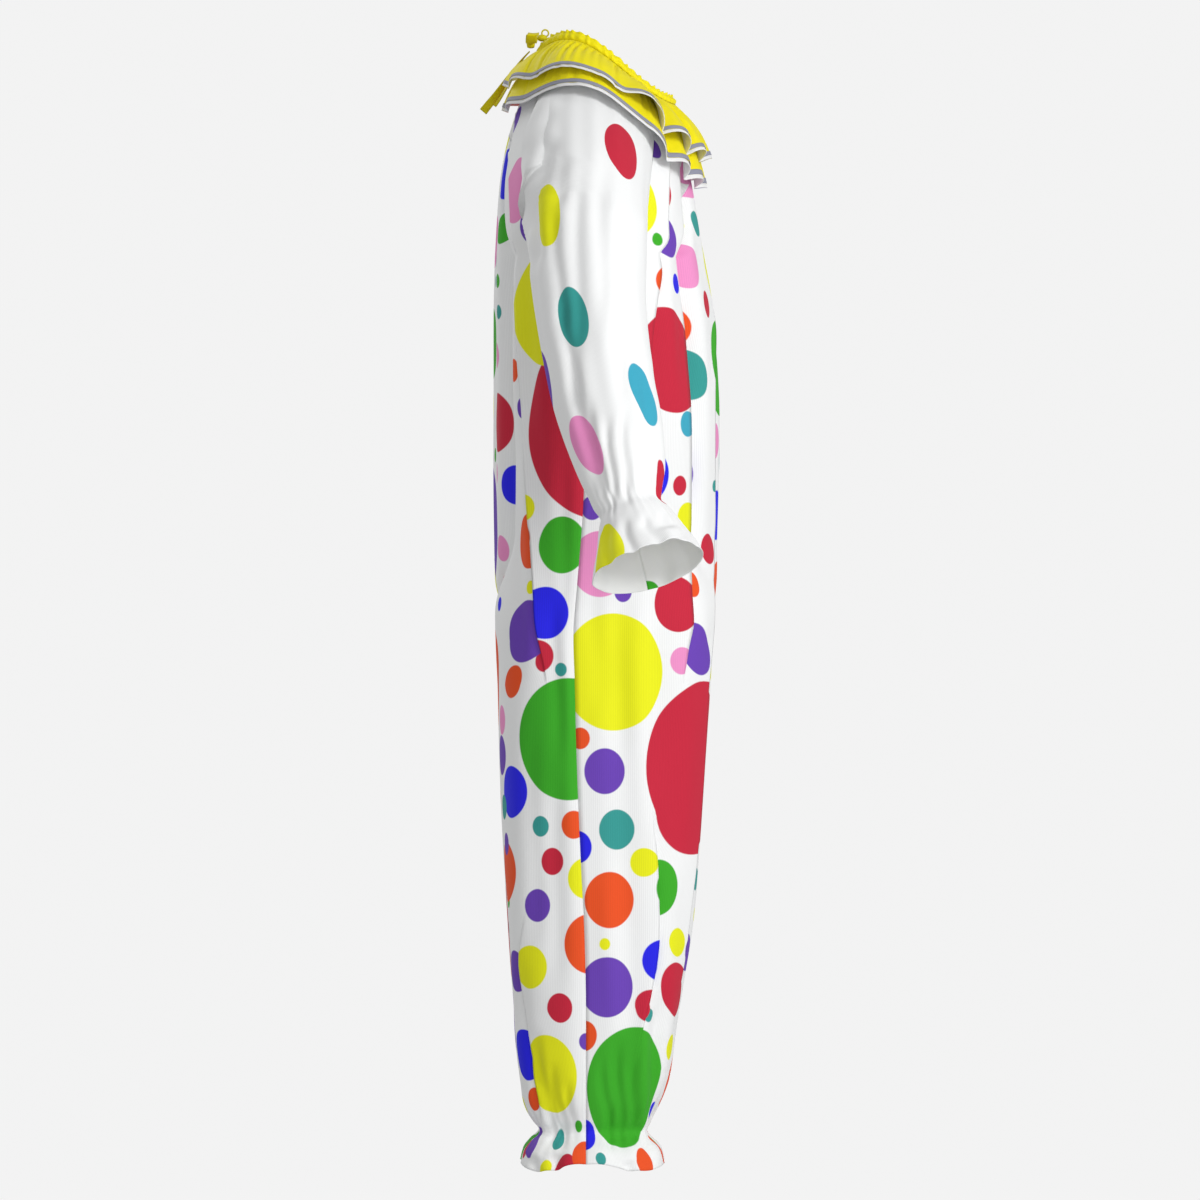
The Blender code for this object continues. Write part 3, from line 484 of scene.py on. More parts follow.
class RuffleSizes(bpy.types.PropertyGroup):
    """Sizes of the collar, the casing and the ribbon."""

    thickness: bpy.props.FloatProperty(
        name="Thickness", description="Thickness of the ruffles", default=0.0008, unit="LENGTH"
    )
    band: bpy.props.FloatProperty(
        name="Band", description="Thickness of the grey bands", default=0.0004, unit="LENGTH"
    )
    ribbon: bpy.props.FloatProperty(
        name="Ribbon", description="Thickness of the tie's ribbon", default=0.0008, unit="LENGTH"
    )


def hex_colour(name, description, value):
    """A colour property that starts from an sRGB hex value."""
    return bpy.props.FloatVectorProperty(
        name=name, description=description, subtype="COLOR", size=3, default=linear(value)
    )


def linear(value):
    """An sRGB hex colour as linear red, green and blue."""
    parts = [int(value[i : i + 2], 16) / 255 for i in (1, 3, 5)]
    return tuple(c / 12.92 if c <= 0.04045 else ((c + 0.055) / 1.055) ** 2.4 for c in parts)


class Dyes(bpy.types.PropertyGroup):
    """Colours of the cloth, the print, the ruffles and the bands."""

    white: hex_colour("White", "Ground of the dotted cloth", "#F6F7F7")
    yellow: hex_colour("Yellow", "Yellow dots", "#EEF01E")
    red: hex_colour("Red", "Red dots", "#CB2A41")
    green: hex_colour("Green", "Green dots", "#3FAE2A")
    blue: hex_colour("Blue", "Blue dots", "#2A28EC")
    purple: hex_colour("Purple", "Purple dots", "#6E46B8")
    teal: hex_colour("Teal", "Teal dots", "#3B9E98")
    cyan: hex_colour("Cyan", "Light blue dots", "#41ABC6")
    pink: hex_colour("Pink", "Pink dots", "#F095CA")
    orange: hex_colour("Orange", "Orange dots", "#EF5626")
    ruffle: hex_colour("Ruffle", "Outside of the ruffles", "#F8EA14")
    lining: hex_colour("Lining", "Underside of the ruffles", "#F1F1F1")
    band: hex_colour("Band", "Bands near the ruffles' edges", "#9698AA")
    # A darker yellow than the ruffles: painted shade of the tie at the back of the neck.
    ribbon: hex_colour("Ribbon", "Ribbon of the bow", "#DDD00E")


DOT_COLOURS = ("yellow", "red", "green", "blue", "purple", "teal", "pink", "orange")


# ---------------------------------------------------------------------------------------------------
# Surfaces.


def through(table, name, at):
    """One column of a table, on a smooth curve through its rows, at places along its first column."""
    knots = np.array([row[0] for row in table], float)
    values = np.array([getattr(row, name) for row in table], float)
    slopes = np.gradient(values, knots)
    at = np.clip(at, knots[0], knots[-1])
    i = np.clip(np.searchsorted(knots, at) - 1, 0, len(knots) - 2)
    span = knots[i + 1] - knots[i]
    t = (at - knots[i]) / span
    start = values[i] * (1 + 2 * t) + slopes[i] * span * t
    end = values[i + 1] * (3 - 2 * t) + slopes[i + 1] * span * (t - 1)
    return start * (1 - t) ** 2 + end * t**2


def between(table, name, at):
    """One column of a table, on straight lines through its rows."""
    return np.interp(at, [row[0] for row in table], [getattr(row, name) for row in table])


def ease(t):
    """A smooth step from 0 to 1."""
    t = np.clip(t, 0, 1)
    return t * t * (3 - 2 * t)


def points(x, y, z):
    return np.stack(np.broadcast_arrays(x, y, z), axis=-1)


def unit(vectors):
    return vectors / np.maximum(np.linalg.norm(vectors, axis=-1, keepdims=True), 1e-12)


def neck(angle, edge):
    """The neck ring at an angle from the front, moved out and down."""
    flat, lean, sag, skew = NECK_HEIGHTS
    height = flat + lean * np.cos(angle) + sag * np.cos(2 * angle) + skew * np.cos(3 * angle)
    x = -(NECK_HALF_WIDTH + edge.out) * np.sin(angle)
    y = NECK_MIDDLE_Y - (NECK_HALF_DEPTH + edge.out) * np.cos(angle)
    return points(x, y, height - edge.down)


def cap_arc(u, at):
    """The shoulder part of the sleeve, from the front raglan seam (0) over the top to the back (1)."""
    middle = points(*(through(CAP, name, at) for name in ("mid_x", "mid_y", "mid_z")))
    crown = points(*(through(CAP, name, at) for name in ("top_x", "top_y", "top_z")))
    closed = np.radians(through(CAP, "closed", at))
    tilt = np.radians(through(CAP, "tilt", at))
    angle = -closed + (np.pi + 2 * closed) * u
    forward = points(0 * tilt, -np.cos(tilt), -np.sin(tilt))
    rise = (crown - middle) / (1 + np.sin(closed))[..., None]
    centre = middle + rise * np.sin(closed)[..., None]
    across = (through(CAP, "half", at) * np.cos(angle))[..., None] * forward
    return centre + across + rise * np.sin(angle)[..., None]


def shoulder(u, at):
    """The shoulder part of the sleeve, with its top drawn onto the neck ring."""
    angle = RAGLAN_FRONT + (RAGLAN_BACK - RAGLAN_FRONT) * u
    to_neck = neck(angle, BODY_SEWN) - cap_arc(u, np.zeros_like(at))
    return cap_arc(u, at) + to_neck * (1 - ease(at / NECK_PULL))[..., None]


def sleeve_tube(u, at):
    """The sleeve below the underarm, round from the underarm seam by the front."""
    turn = -np.pi / 2 + 2 * np.pi * u
    lean = np.radians(through(SLEEVE, "lean", at))
    out = np.array((-math.cos(ARM_SPREAD), 0, math.sin(ARM_SPREAD)))
    up = np.array((math.sin(ARM_SPREAD), 0, math.cos(ARM_SPREAD)))
    forward = points(0 * lean, -np.cos(lean), 0 * lean) + np.sin(lean)[..., None] * up
    centre = points(*(through(SLEEVE, name, at) for name in ("x", "y", "z")))
    to_front = (through(SLEEVE, "front", at) * np.cos(turn))[..., None] * forward
    to_side = (through(SLEEVE, "side", at) * np.sin(turn))[..., None] * out
    return centre + to_front + to_side


def sleeve(u, at):
    """The right sleeve: at goes from the neck (0) by the underarm (1) to the hem of the frill (2)."""
    upper = shoulder(u, np.clip(at, 0, 1))
    return np.where((at <= 1)[..., None], upper, sleeve_tube(u, at)) - (SLEEVE_CLEAR, 0, 0)


def yoke_row(across, at, side):
    """A row of the body above the underarm, from the middle line (0) to the raglan seam (1)."""
    seam = shoulder(np.full_like(at, 0.0 if side == "front" else 1.0), at)
    middle_y = through(YOKE, side + "_y", at)
    middle_z = through(YOKE, side + "_z", at)
    last = np.radians(through(YOKE, "turn", at))
    exponent = 2 / (2 + (BODY_ROUND - 2) * at)
    turn = last * across
    share_x = np.sin(turn) ** exponent / np.sin(last) ** exponent
    share_y = (1 - np.cos(turn) ** exponent) / (1 - np.cos(last) ** exponent)
    x = seam[..., 0] * share_x
    y = middle_y + (seam[..., 1] - middle_y) * share_y
    z = middle_z + (seam[..., 2] - middle_z) * share_y
    return points(x, y, z)


def yoke(across, at, side):
    """The body above the underarm, with its top row drawn onto the neck ring."""
    first, last = (0.0, RAGLAN_FRONT) if side == "front" else (np.pi, RAGLAN_BACK)
    ring = neck(first + (last - first) * across, BODY_SEWN)
    to_neck = ring - yoke_row(across, np.zeros_like(at), side)
    return yoke_row(across, at, side) + to_neck * (1 - ease(at / NECK_PULL))[..., None]


def trunk(across, drop, side):
    """The body and leg below the underarm, from the middle line or inseam (0) to the side seam (1)."""
    edge, outer, inner, seam, inseam = (
        through(SECTIONS, name, drop) for name in (side, "outer", "inner", "outseam", "inseam")
    )
    down = np.clip((drop - CROTCH_TOP) / (CROTCH - CROTCH_TOP), 0, 1)
    cleft = 1 - np.sqrt(1 - down**2)
    spread = ease(down)
    peak = spread * (outer + inner) / 2
    share = spread / 2
    inside = across < share
    turn = np.where(inside, across / np.maximum(share, STEP), (across - share) / (1 - share))
    turn = np.clip(turn, 0, 1) * np.pi / 2
    exponent = 2 / BODY_ROUND
    sine, cosine = np.sin(turn) ** exponent, np.cos(turn) ** exponent
    near_x = -inner - (peak - inner) * (1 - cosine)
    near_y = edge + (inseam - edge) * cleft * (1 - sine)
    far_x = -peak - (outer - peak) * sine
    far_y = seam + (edge - seam) * cosine
    return points(
        np.where(inside, near_x, far_x), np.where(inside, near_y, far_y), UNDERARM - drop
    )


def body(across, level, side):
    """A body panel: level 0 to 1 is the yoke, and past 1 it is metres below the underarm."""
    upper = yoke(across, np.clip(level, 0, 1), side)
    lower = trunk(across, np.clip(level - 1, 0, None), side)
    return np.where((level <= 1)[..., None], upper, lower)


def fold_depth(across, level, side):
    """Depth of the large hanging folds."""
    depth = np.zeros_like(across)
    for fold in FOLDS:
        if fold.panel == side:
            trough = np.exp(-(((across - fold.across) / fold.width) ** 2) * 2)
            span = ease((level - fold.top) / FOLD_FADE) * ease((fold.bottom - level) / FOLD_FADE)
            depth = depth + fold.depth * trough * span
    return depth


def seen(places):
    """Where places appear from the wearer's right side: forward and down, in mm."""
    nearer = VIEW_AWAY / (VIEW_AWAY + places[..., 0])
    forward = -VIEW_Y - (places[..., 1] - VIEW_Y) * nearer
    down = -VIEW_Z - (places[..., 2] - VIEW_Z) * nearer
    return forward / MM, down / MM


def grid_normals(places, facing):
    """Unit normals of a grid of places, from the places beside each one."""
    across = np.gradient(places, axis=0)
    along = np.gradient(places, axis=1)
    return unit(np.cross(along, across) * facing)


# ---------------------------------------------------------------------------------------------------
# Cloth panels: columns that follow the pressed folds, and the cloth's slack, creases and gathers.


def rows_of(spans):
    """Levels of a panel's rows, from (from, to, rows) spans."""
    parts = [np.linspace(start, end, rows, endpoint=False) for start, end, rows in spans]
    return np.append(np.concatenate(parts), spans[-1][1])


def lip_places(surface, route, levels, panel):
    """Where a pressed fold crosses each row of a panel, as its place across the row."""
    trial = np.linspace(0, 1, LIP_TRIALS)
    u, v = np.meshgrid(trial, levels, indexing="ij")
    forward, down = seen(surface(u, v))
    target = np.interp(down, [stop.down for stop in route], [stop.forward for stop in route])
    short = forward < target if panel == "back" else forward > target
    found = np.where(short.any(axis=0), len(trial) - 1 - np.argmax(short[::-1], axis=0), 0)
    return trial[found]


def lip_columns(surface, panel, levels, count):
    """Columns of a panel's grid, bent so that a narrow pair of them follows each pressed fold.

    Returns the place across of each column and row, and the first column of each pair."""
    stops = []
    for route in LIPS[panel]:
        place = lip_places(surface, route, levels, panel)
        spare = LIP_SMOOTH // 2
        padded = np.concatenate((np.repeat(place[0], spare), place, np.repeat(place[-1], spare)))
        place = np.convolve(padded, np.ones(LIP_SMOOTH) / LIP_SMOOTH, mode="valid")
        stops.append(np.clip(place, LIP_APART, 1 - LIP_APART))
    for one, other in zip(stops[:-1], stops[1:], strict=True):
        np.maximum(other, one + LIP_APART, out=other)
    middle = [float(np.median(stop)) for stop in stops]
    marks = [round(share * (count - len(stops))) + number for number, share in enumerate(middle)]
    length = row_lengths(surface, levels)
    columns = np.empty((count + 1, len(levels)))
    for row in range(len(levels)):
        half = LIP_HALF / length[row]
        at, place = [0.0], [0.0]
        for mark, stop in zip(marks, stops, strict=True):
            at += [mark, mark + 1]
            place += [stop[row] - half, stop[row] + half]
        columns[:, row] = np.interp(np.arange(count + 1), at + [count], place + [1.0])
    return columns, marks


def row_lengths(surface, levels):
    u, v = np.meshgrid(np.linspace(0, 1, 60), levels, indexing="ij")
    places = surface(u, v)
    return np.linalg.norm(np.diff(places, axis=0), axis=-1).sum(axis=0)


def hidden_cloth(panel, places, marks):
    """How much cloth each pressed fold hides at each row, in metres."""
    hidden = []
    for route, mark in zip(LIPS[panel], marks, strict=True):
        down = seen(places[mark])[1]
        hidden.append(np.interp(down, [s.down for s in route], [s.hidden for s in route]) * MM)
    return hidden


def cloth_map(places, hidden, marks, fullness, reference, upright):
    """Flat coordinates of a panel's grid, in metres along the cloth: forward along a row, and down it.

    They are laid out from a reference column, and each row is as long as the cloth gathered into it."""
    steps = np.diff(places, axis=0)
    run = np.linalg.norm(steps[..., :2] if upright else steps, axis=-1)
    for lost, mark in zip(hidden, marks, strict=True):
        run[mark] += lost / fullness
    along = np.concatenate((np.zeros((1, places.shape[1])), np.cumsum(run, axis=0)))
    along = (along - along[reference]) * fullness
    tangent = unit(np.gradient(places, axis=0)[reference])
    step = np.diff(places[reference], axis=0)
    if upright:
        tangent = unit(tangent * (1, 1, 0))
    sideways = (step * (tangent[1:] + tangent[:-1]) / 2).sum(axis=-1) * (fullness[1:] + fullness[:-1]) / 2
    along += np.concatenate(([0.0], np.cumsum(sideways)))
    if upright:
        ahead = np.sign(places[0, 0, 1] - places[-1, 0, 1])
        return np.stack((along * ahead, -places[..., 2]), axis=-1)
    rows = np.diff(places, axis=1)
    line = unit(np.gradient(places, axis=0))[:, 1:]
    across = rows - (rows * line).sum(axis=-1, keepdims=True) * line
    down = np.concatenate(
        (np.zeros((places.shape[0], 1)), np.cumsum(np.linalg.norm(across, axis=-1), axis=1)), axis=1
    )
    return np.stack((-along, down), axis=-1)


def crease_depth(places, outward, panel):
    """Depth of the listed creases on the side of a panel that faces the wearer's right."""
    forward, down = seen(places)
    depth = np.zeros_like(forward)
    for crease in CREASES[panel]:
        run = np.array((crease.to_forward - crease.forward, crease.to_down - crease.down), float)
        length = np.hypot(*run)
        run /= length
        side_f, side_d = forward - crease.forward, down - crease.down
        t = (side_f * run[0] + side_d * run[1]) / length
        bow = CREASE_BOW * np.sin(np.clip(t, 0, 1) * 2 * np.pi)
        off = side_f * run[1] - side_d * run[0] + bow
        span = ease((t + CREASE_OVER) / CREASE_FADE) * ease((1 + CREASE_OVER - t) / CREASE_FADE)
        depth += CREASE_SCALE * crease.depth * span * np.exp(-((off / crease.width) ** 2))
    facing = ease((0.35 - outward[..., 0]) / 0.5)
    return depth * MM * facing


def slack(flat, draws, height):
    """Uneven slack of hanging cloth: long shallow waves that run down it."""
    waves = np.zeros(flat.shape[:2])
    for _ in range(SLACK_WAVES):
        width = draws.uniform(*SLACK_WIDTHS)
        length = draws.uniform(*SLACK_LENGTHS)
        phase, drift = draws.uniform(0, 2 * np.pi, 2)
        bend = 0.6 * np.sin(2 * np.pi * flat[..., 1] / length + drift)
        waves += np.sin(2 * np.pi * flat[..., 0] / width + bend + phase)
    return waves * height / 3


def gather_depth(across, level, panel, draws):
    """Depth of the gathers beside an elastic or a drawn edge, no two of them alike."""
    depth = np.zeros_like(across)
    for gather in GATHERS:
        if gather.panel != panel:
            continue
        edges = (np.arange(gather.count + 1) + draws.uniform(-0.28, 0.28, gather.count + 1)) / gather.count
        edges[0], edges[-1] = 0.0, 1.0
        phase = np.interp(across, edges, np.arange(gather.count + 1))
        number = np.clip(phase.astype(int), 0, gather.count - 1)
        strength = draws.uniform(0.55, 1.25, gather.count)[number]
        reach = draws.uniform(0.45, 1.3, gather.count)[number]
        below = np.clip(level - gather.level, 0, None) / (gather.below * reach + 1e-6)
        above = np.clip(gather.level - level, 0, None) / (max(gather.above, 1e-3) * reach)
        fade = np.exp(-((below + above) ** 2) * 1.6)
        depth += gather.depth * MM * strength * fade * (1 - np.cos(2 * np.pi * phase)) / 2
    return depth


def seam_fade(places):
    """0 at a panel's two long edges and 1 away from them, so that neighbours meet at a seam."""
    run = np.cumsum(np.linalg.norm(np.diff(places, axis=0), axis=-1), axis=0)
    run = np.concatenate((np.zeros((1, places.shape[1])), run))
    near = np.minimum(run, run[-1] - run)
    return 1 - np.exp(-((near / SEAM_REACH) ** 2))


def draw_seams(places, outward, dip, reach=0.006):
    """Draws a panel's two long edges in a little, as a sewn seam does."""
    for edge, step in ((0, 1), (-1, -1)):
        lengths = np.zeros(places.shape[1])
        for number in range(6):
            here = edge + step * number
            fade = np.exp(-((lengths / reach) ** 2))
            places[here] -= outward[here] * (dip * fade)[:, None]
            beyond = here + step
            lengths = lengths + np.linalg.norm(places[beyond] - places[here], axis=-1)
    return places


def press_lips(places, outward, hidden, marks):
    """Turns the cloth under itself along each pressed fold: the lip stands up and reaches over."""
    seam = seam_fade(places)
    for lost, mark in zip(hidden, marks, strict=True):
        along = unit(places[mark - 1] - places[mark + 2])
        lip, root = mark + 1, mark
        rise = np.minimum(lost * LIP_RISE, LIP_MOST) * seam[mark]
        over = np.minimum(lost * LIP_OVERLAP, LIP_MOST) * seam[mark]
        for index in range(places.shape[0]):
            if index >= lip:
                away = np.linalg.norm(places[index] - places[lip], axis=-1)
                fade = np.exp(-((away / LIP_SPREAD) ** 2))
                lift = outward[index] * (rise * fade)[:, None]
                places[index] += lift + along * (over * fade)[:, None]
            else:
                away = np.linalg.norm(places[index] - places[root], axis=-1)
                fade = np.exp(-((away / LIP_SPREAD) ** 2))
                places[index] -= outward[index] * (rise * 0.7 * fade)[:, None]
    return places


def cloth_grid(panel, draws, sizes):
    """A panel of the right half: its places, its flat coordinates and its plain places."""
    if panel == "sleeve":
        surface, spans, count, fullness = sleeve, SLEEVE_LEVELS, SLEEVE_COLUMNS, SLEEVE_FULLNESS
    else:
        spans, count, fullness = BODY_LEVELS, BODY_COLUMNS, BODY_FULLNESS

        def surface(u, v):
            return body(u, v, panel)

    levels = rows_of(spans)
    columns, marks = lip_columns(surface, panel, levels, count)
    level = np.broadcast_to(levels, columns.shape)
    plain = surface(columns, level)
    outward = grid_normals(plain, FACING[panel])
    hidden = hidden_cloth(panel, plain, marks)
    reference = count // 2 if panel == "sleeve" else count
    flat = cloth_map(
        plain, hidden, marks, between(fullness, "times", levels), reference, panel != "sleeve"
    )
    depth = fold_depth(columns, level, panel) + crease_depth(plain, outward, panel)
    depth += slack(flat, draws, sizes.wrinkle) + gather_depth(columns, level, panel, draws)
    if panel == "sleeve":
        reach = ease((level - 0.15) / 0.45) * ease((1.30 - level) / 0.50)
        depth = depth - SLEEVE_PUFF * np.exp(-(((columns - PUFF_PLACE) / PUFF_WIDTH) ** 2)) * reach
    depth = depth * seam_fade(plain)
    places = plain - outward * depth[..., None]
    places = press_lips(places, outward, hidden, marks)
    if panel != "sleeve":
        dips = (1 - np.cos(4 * np.pi * columns)) / 2
        places[..., 2] += HEM_WAVE * (1 - dips) * ease((level - ANKLE) / HEM_REACH)
    return draw_seams(places, outward, sizes.seam_dip), flat, plain, outward


# ---------------------------------------------------------------------------------------------------
# The print.


def charted_dots(panel, flat, plain, outward):
    """The charted dots of a panel, as their centre and radius on the flat cloth and their colour."""
    forward, down = seen(plain)
    slope = math.cos(ARM_SPREAD) if panel == "sleeve" else 1.0
    dots = []
    inside = INSIDE_DOTS if panel == "sleeve" else ()
    for dot in (*DOTS[panel], *inside):
        near = (outward[..., 0] > 0.1) if dot in inside else (outward[..., 0] < 0.15)
        away = np.where(near, np.hypot(forward - dot.forward, down - dot.down), np.inf)
        i, j = np.unravel_index(np.argmin(away), away.shape)
        centre = flat[i, j] + (
            (dot.forward - forward[i, j] + dot.shift) * MM,
            (dot.down - down[i, j]) / slope * MM,
        )
        dots.append((*centre, dot.size * MM / 2, dot.colour))
    return dots


def scattered_dots(dots, panel, flat, allowed, charted, draws):
    """Fills the rest of a panel with dots, the large ones first, none touching another."""
    sizes, tries = (SCATTER_SIZES, SCATTER_TRIES) if panel != "sleeve" else (SLEEVE_SIZES, SLEEVE_TRIES)
    gap = SCATTER_GAP if panel != "sleeve" else SLEEVE_GAP
    spots = flat[allowed]
    kept_clear = flat[::3, ::3][charted[::3, ::3]].reshape(-1, 2)
    found = list(dots)
    for size in sizes:
        radius = size * MM / 2
        for _ in range(tries):
            centre = spots[draws.integers(len(spots))]
            others = np.array([(x, y, r) for x, y, r, _ in found]).reshape(-1, 3)
            room = np.hypot(*(others[:, :2] - centre).T) - others[:, 2] - radius
            if len(found) and room.min() < gap * MM:
                continue
            if len(kept_clear) and np.hypot(*(kept_clear - centre).T).min() < radius:
                continue
            close = [found[k][3] for k in np.argsort(room)[:2]] if len(found) else []
            colours = [colour for colour in DOT_COLOURS if colour not in close]
            found.append((*centre, radius, colours[draws.integers(len(colours))]))
    return found


def print_dots(mesh, uv, dots, dyes):
    """Stores the two nearest dots on each face, the one on top first: centre, radius and colour."""
    corners = np.empty(len(mesh.loops), int)
    mesh.loops.foreach_get("vertex_index", corners)
    middle = uv[corners].reshape(-1, 4, 2).mean(axis=1)
    centres = np.array([dot[:3] for dot in dots])
    edges = [np.hypot(*(middle - centre[:2]).T) - centre[2] for centre in centres]
    nearest = np.sort(np.argpartition(np.stack(edges), 2, axis=0)[:2], axis=0)
    colours = np.array([(*getattr(dyes, dot[3]), 1.0) for dot in dots])
    for name, number in zip(DOT_LAYERS, nearest, strict=True):
        place = mesh.attributes.new(name, "FLOAT_VECTOR", "FACE")
        place.data.foreach_set("vector", centres[number].ravel())
        dye = mesh.attributes.new(name + "_colour", "FLOAT_COLOR", "FACE")
        dye.data.foreach_set("color", colours[number].ravel())


# ---------------------------------------------------------------------------------------------------
# Meshes.


def grid_mesh(name, places, flat):
    """A mesh grid moved onto its places, with its flat coordinates as a UV map."""
    columns, rows = places.shape[:2]
    mesh = bpy.data.meshes.new(name)
    bm = bmesh.new()
    bmesh.ops.create_grid(bm, x_segments=columns - 1, y_segments=rows - 1, size=0.5)
    bm.to_mesh(mesh)
    bm.free()
    corners = np.empty(len(mesh.vertices) * 3)
    mesh.vertices.foreach_get("co", corners)
    corners = corners.reshape(-1, 3)
    i = np.rint((corners[:, 0] + 0.5) * (columns - 1)).astype(int)
    j = np.rint((corners[:, 1] + 0.5) * (rows - 1)).astype(int)
    mesh.vertices.foreach_set("co", places[i, j].ravel())
    uv = flat[i, j]
    loops = np.empty(len(mesh.loops), int)
    mesh.loops.foreach_get("vertex_index", loops)
    layer = mesh.uv_layers.new(name="Cloth")
    layer.data.foreach_set("uv", uv[loops].ravel())
    mesh.update()
    return mesh, uv


def finish_cloth(name, mesh, outward, thickness, materials):
    """A panel's object: faces turned outwards, shaded smooth, and given the cloth's thickness."""
    faces = len(mesh.polygons)
    normals = np.empty(faces * 3)
    mesh.polygons.foreach_get("normal", normals)
    normals = normals.reshape(-1, 3)
    outward = outward.transpose(1, 0, 2).reshape(-1, 3)  # a grid's vertices run along its columns first
    first = np.empty(faces, int)
    mesh.polygons.foreach_get("loop_start", first)
    corners = np.empty(len(mesh.loops), int)
    mesh.loops.foreach_get("vertex_index", corners)
    if (normals * outward[corners[first]]).sum() < 0:
        mesh.flip_normals()
    mesh.shade_smooth()
    for material in materials:
        mesh.materials.append(material)
    piece = bpy.data.objects.new(name, mesh)
    bpy.context.scene.collection.objects.link(piece)
    wall = piece.modifiers.new("cloth", "SOLIDIFY")
    wall.thickness = thickness
    wall.offset = -1
    wall.use_even_offset = False
    if len(materials) > 1:
        wall.material_offset = 1
    return piece


def stand_for(piece, node):
    """The piece rides with the costume, in place of a node of the frame, which it hides."""
    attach(piece, "root")
    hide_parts(node)


# ---------------------------------------------------------------------------------------------------
# Materials.


def put(material, kind, settings=None, links=None):
    """Adds a shader node with its settings, and links its inputs from other nodes' outputs."""
    tree = material.node_tree
    node = tree.nodes.new(kind)
    for name, value in (settings or {}).items():
        if isinstance(name, str) and hasattr(node, name):
            setattr(node, name, value)
        else:
            node.inputs[name].default_value = value
    for name, (source, output) in (links or {}).items():
        tree.links.new(source.outputs[output], node.inputs[name])
    return node


def cloth_material(name, colour, roughness, sheen):
    """A plain cloth shader to which a weave or a print is then linked."""
    material = bpy.data.materials.new(name)
    material.use_nodes = True
    shader = material.node_tree.nodes["Principled BSDF"]
    shader.inputs["Base Color"].default_value = (*colour, 1)
    shader.inputs["Roughness"].default_value = roughness
    shader.inputs["Sheen Weight"].default_value = sheen
    shader.inputs["Sheen Roughness"].default_value = 0.5
    shader.inputs["Specular IOR Level"].default_value = 0.15
    return material, shader


def wave(material, line, axis, spacing):
    """A sine along one axis of the cloth, with one turn in each spacing."""
    scale = {"operation": "MULTIPLY", 1: 2 * math.pi / spacing}
    turns = put(material, "ShaderNodeMath", scale, {0: (line, axis)})
    return put(material, "ShaderNodeMath", {"operation": "SINE"}, {0: (turns, 0)})


def printed_polyester(dyes, rib):
    """White knitted polyester with fine upright ribs, printed with flat round dots: the dots have
    crisp edges, the ribs are a faint bump and a painted upright shade, the colour darkened a little
    along each rib, and the face is matt with a soft bloom."""
    material, shader = cloth_material("printed polyester", dyes.white, 0.75, 0.03)
    tree = material.node_tree
    flat = put(material, "ShaderNodeUVMap", {"uv_map": "Cloth"})
    print_colour = put(material, "ShaderNodeRGB")
    print_colour.outputs[0].default_value = (*dyes.white, 1)
    bleed = 0.0007  # the ink's soft edge, in metres
    for layer in reversed(DOT_LAYERS):
        dot = put(material, "ShaderNodeAttribute", {"attribute_name": layer})
        dye = put(material, "ShaderNodeAttribute", {"attribute_name": layer + "_colour"})
        split = put(material, "ShaderNodeSeparateXYZ", links={0: (dot, "Vector")})
        centre = put(
            material, "ShaderNodeCombineXYZ", links={"X": (split, "X"), "Y": (split, "Y")}
        )
        away = put(
            material,
            "ShaderNodeVectorMath",
            {"operation": "DISTANCE"},
            {0: (flat, "UV"), 1: (centre, 0)},
        )
        inside = put(
            material, "ShaderNodeMath", {"operation": "SUBTRACT"}, {0: (split, "Z"), 1: (away, "Value")}
        )
        ink = put(
            material,
            "ShaderNodeMapRange",
            {"From Min": -bleed, "From Max": bleed},
            {"Value": (inside, 0)},
        )
        below = (print_colour, 0) if layer == DOT_LAYERS[1] else (print_colour, 2)
        print_colour = put(
            material,
            "ShaderNodeMix",
            {"data_type": "RGBA"},
            {0: (ink, "Result"), 6: below, 7: (dye, "Color")},
        )
    line = put(material, "ShaderNodeSeparateXYZ", links={0: (flat, "UV")})
    ribs = wave(material, line, "X", rib)
    grain = put(
        material,
        "ShaderNodeTexNoise",
        {"Scale": 420.0, "Detail": 2.0, "noise_dimensions": "2D"},
        {"Vector": (flat, "UV")},
    )
    height = put(
        material, "ShaderNodeMath", {"operation": "MULTIPLY_ADD", 1: 0.5}, {0: (ribs, 0), 2: (grain, 0)}
    )
    # Painted shade of the ribs: the colour is darkened by up to 8 percent along each rib's trough.
    shade = put(
        material,
        "ShaderNodeMapRange",
        {"From Min": -1.0, "From Max": 1.0, "To Min": 0.92, "To Max": 1.0},
        {"Value": (ribs, 0)},
    )
    toned = put(
        material,
        "ShaderNodeVectorMath",
        {"operation": "SCALE"},
        {0: (print_colour, 2), "Scale": (shade, "Result")},
    )
    tree.links.new(toned.outputs["Vector"], shader.inputs["Base Color"])
    bump = put(
        material, "ShaderNodeBump", {"Strength": 0.5, "Distance": 0.00012}, {"Height": (height, 0)}
    )
    tree.links.new(bump.outputs["Normal"], shader.inputs["Normal"])
    return material


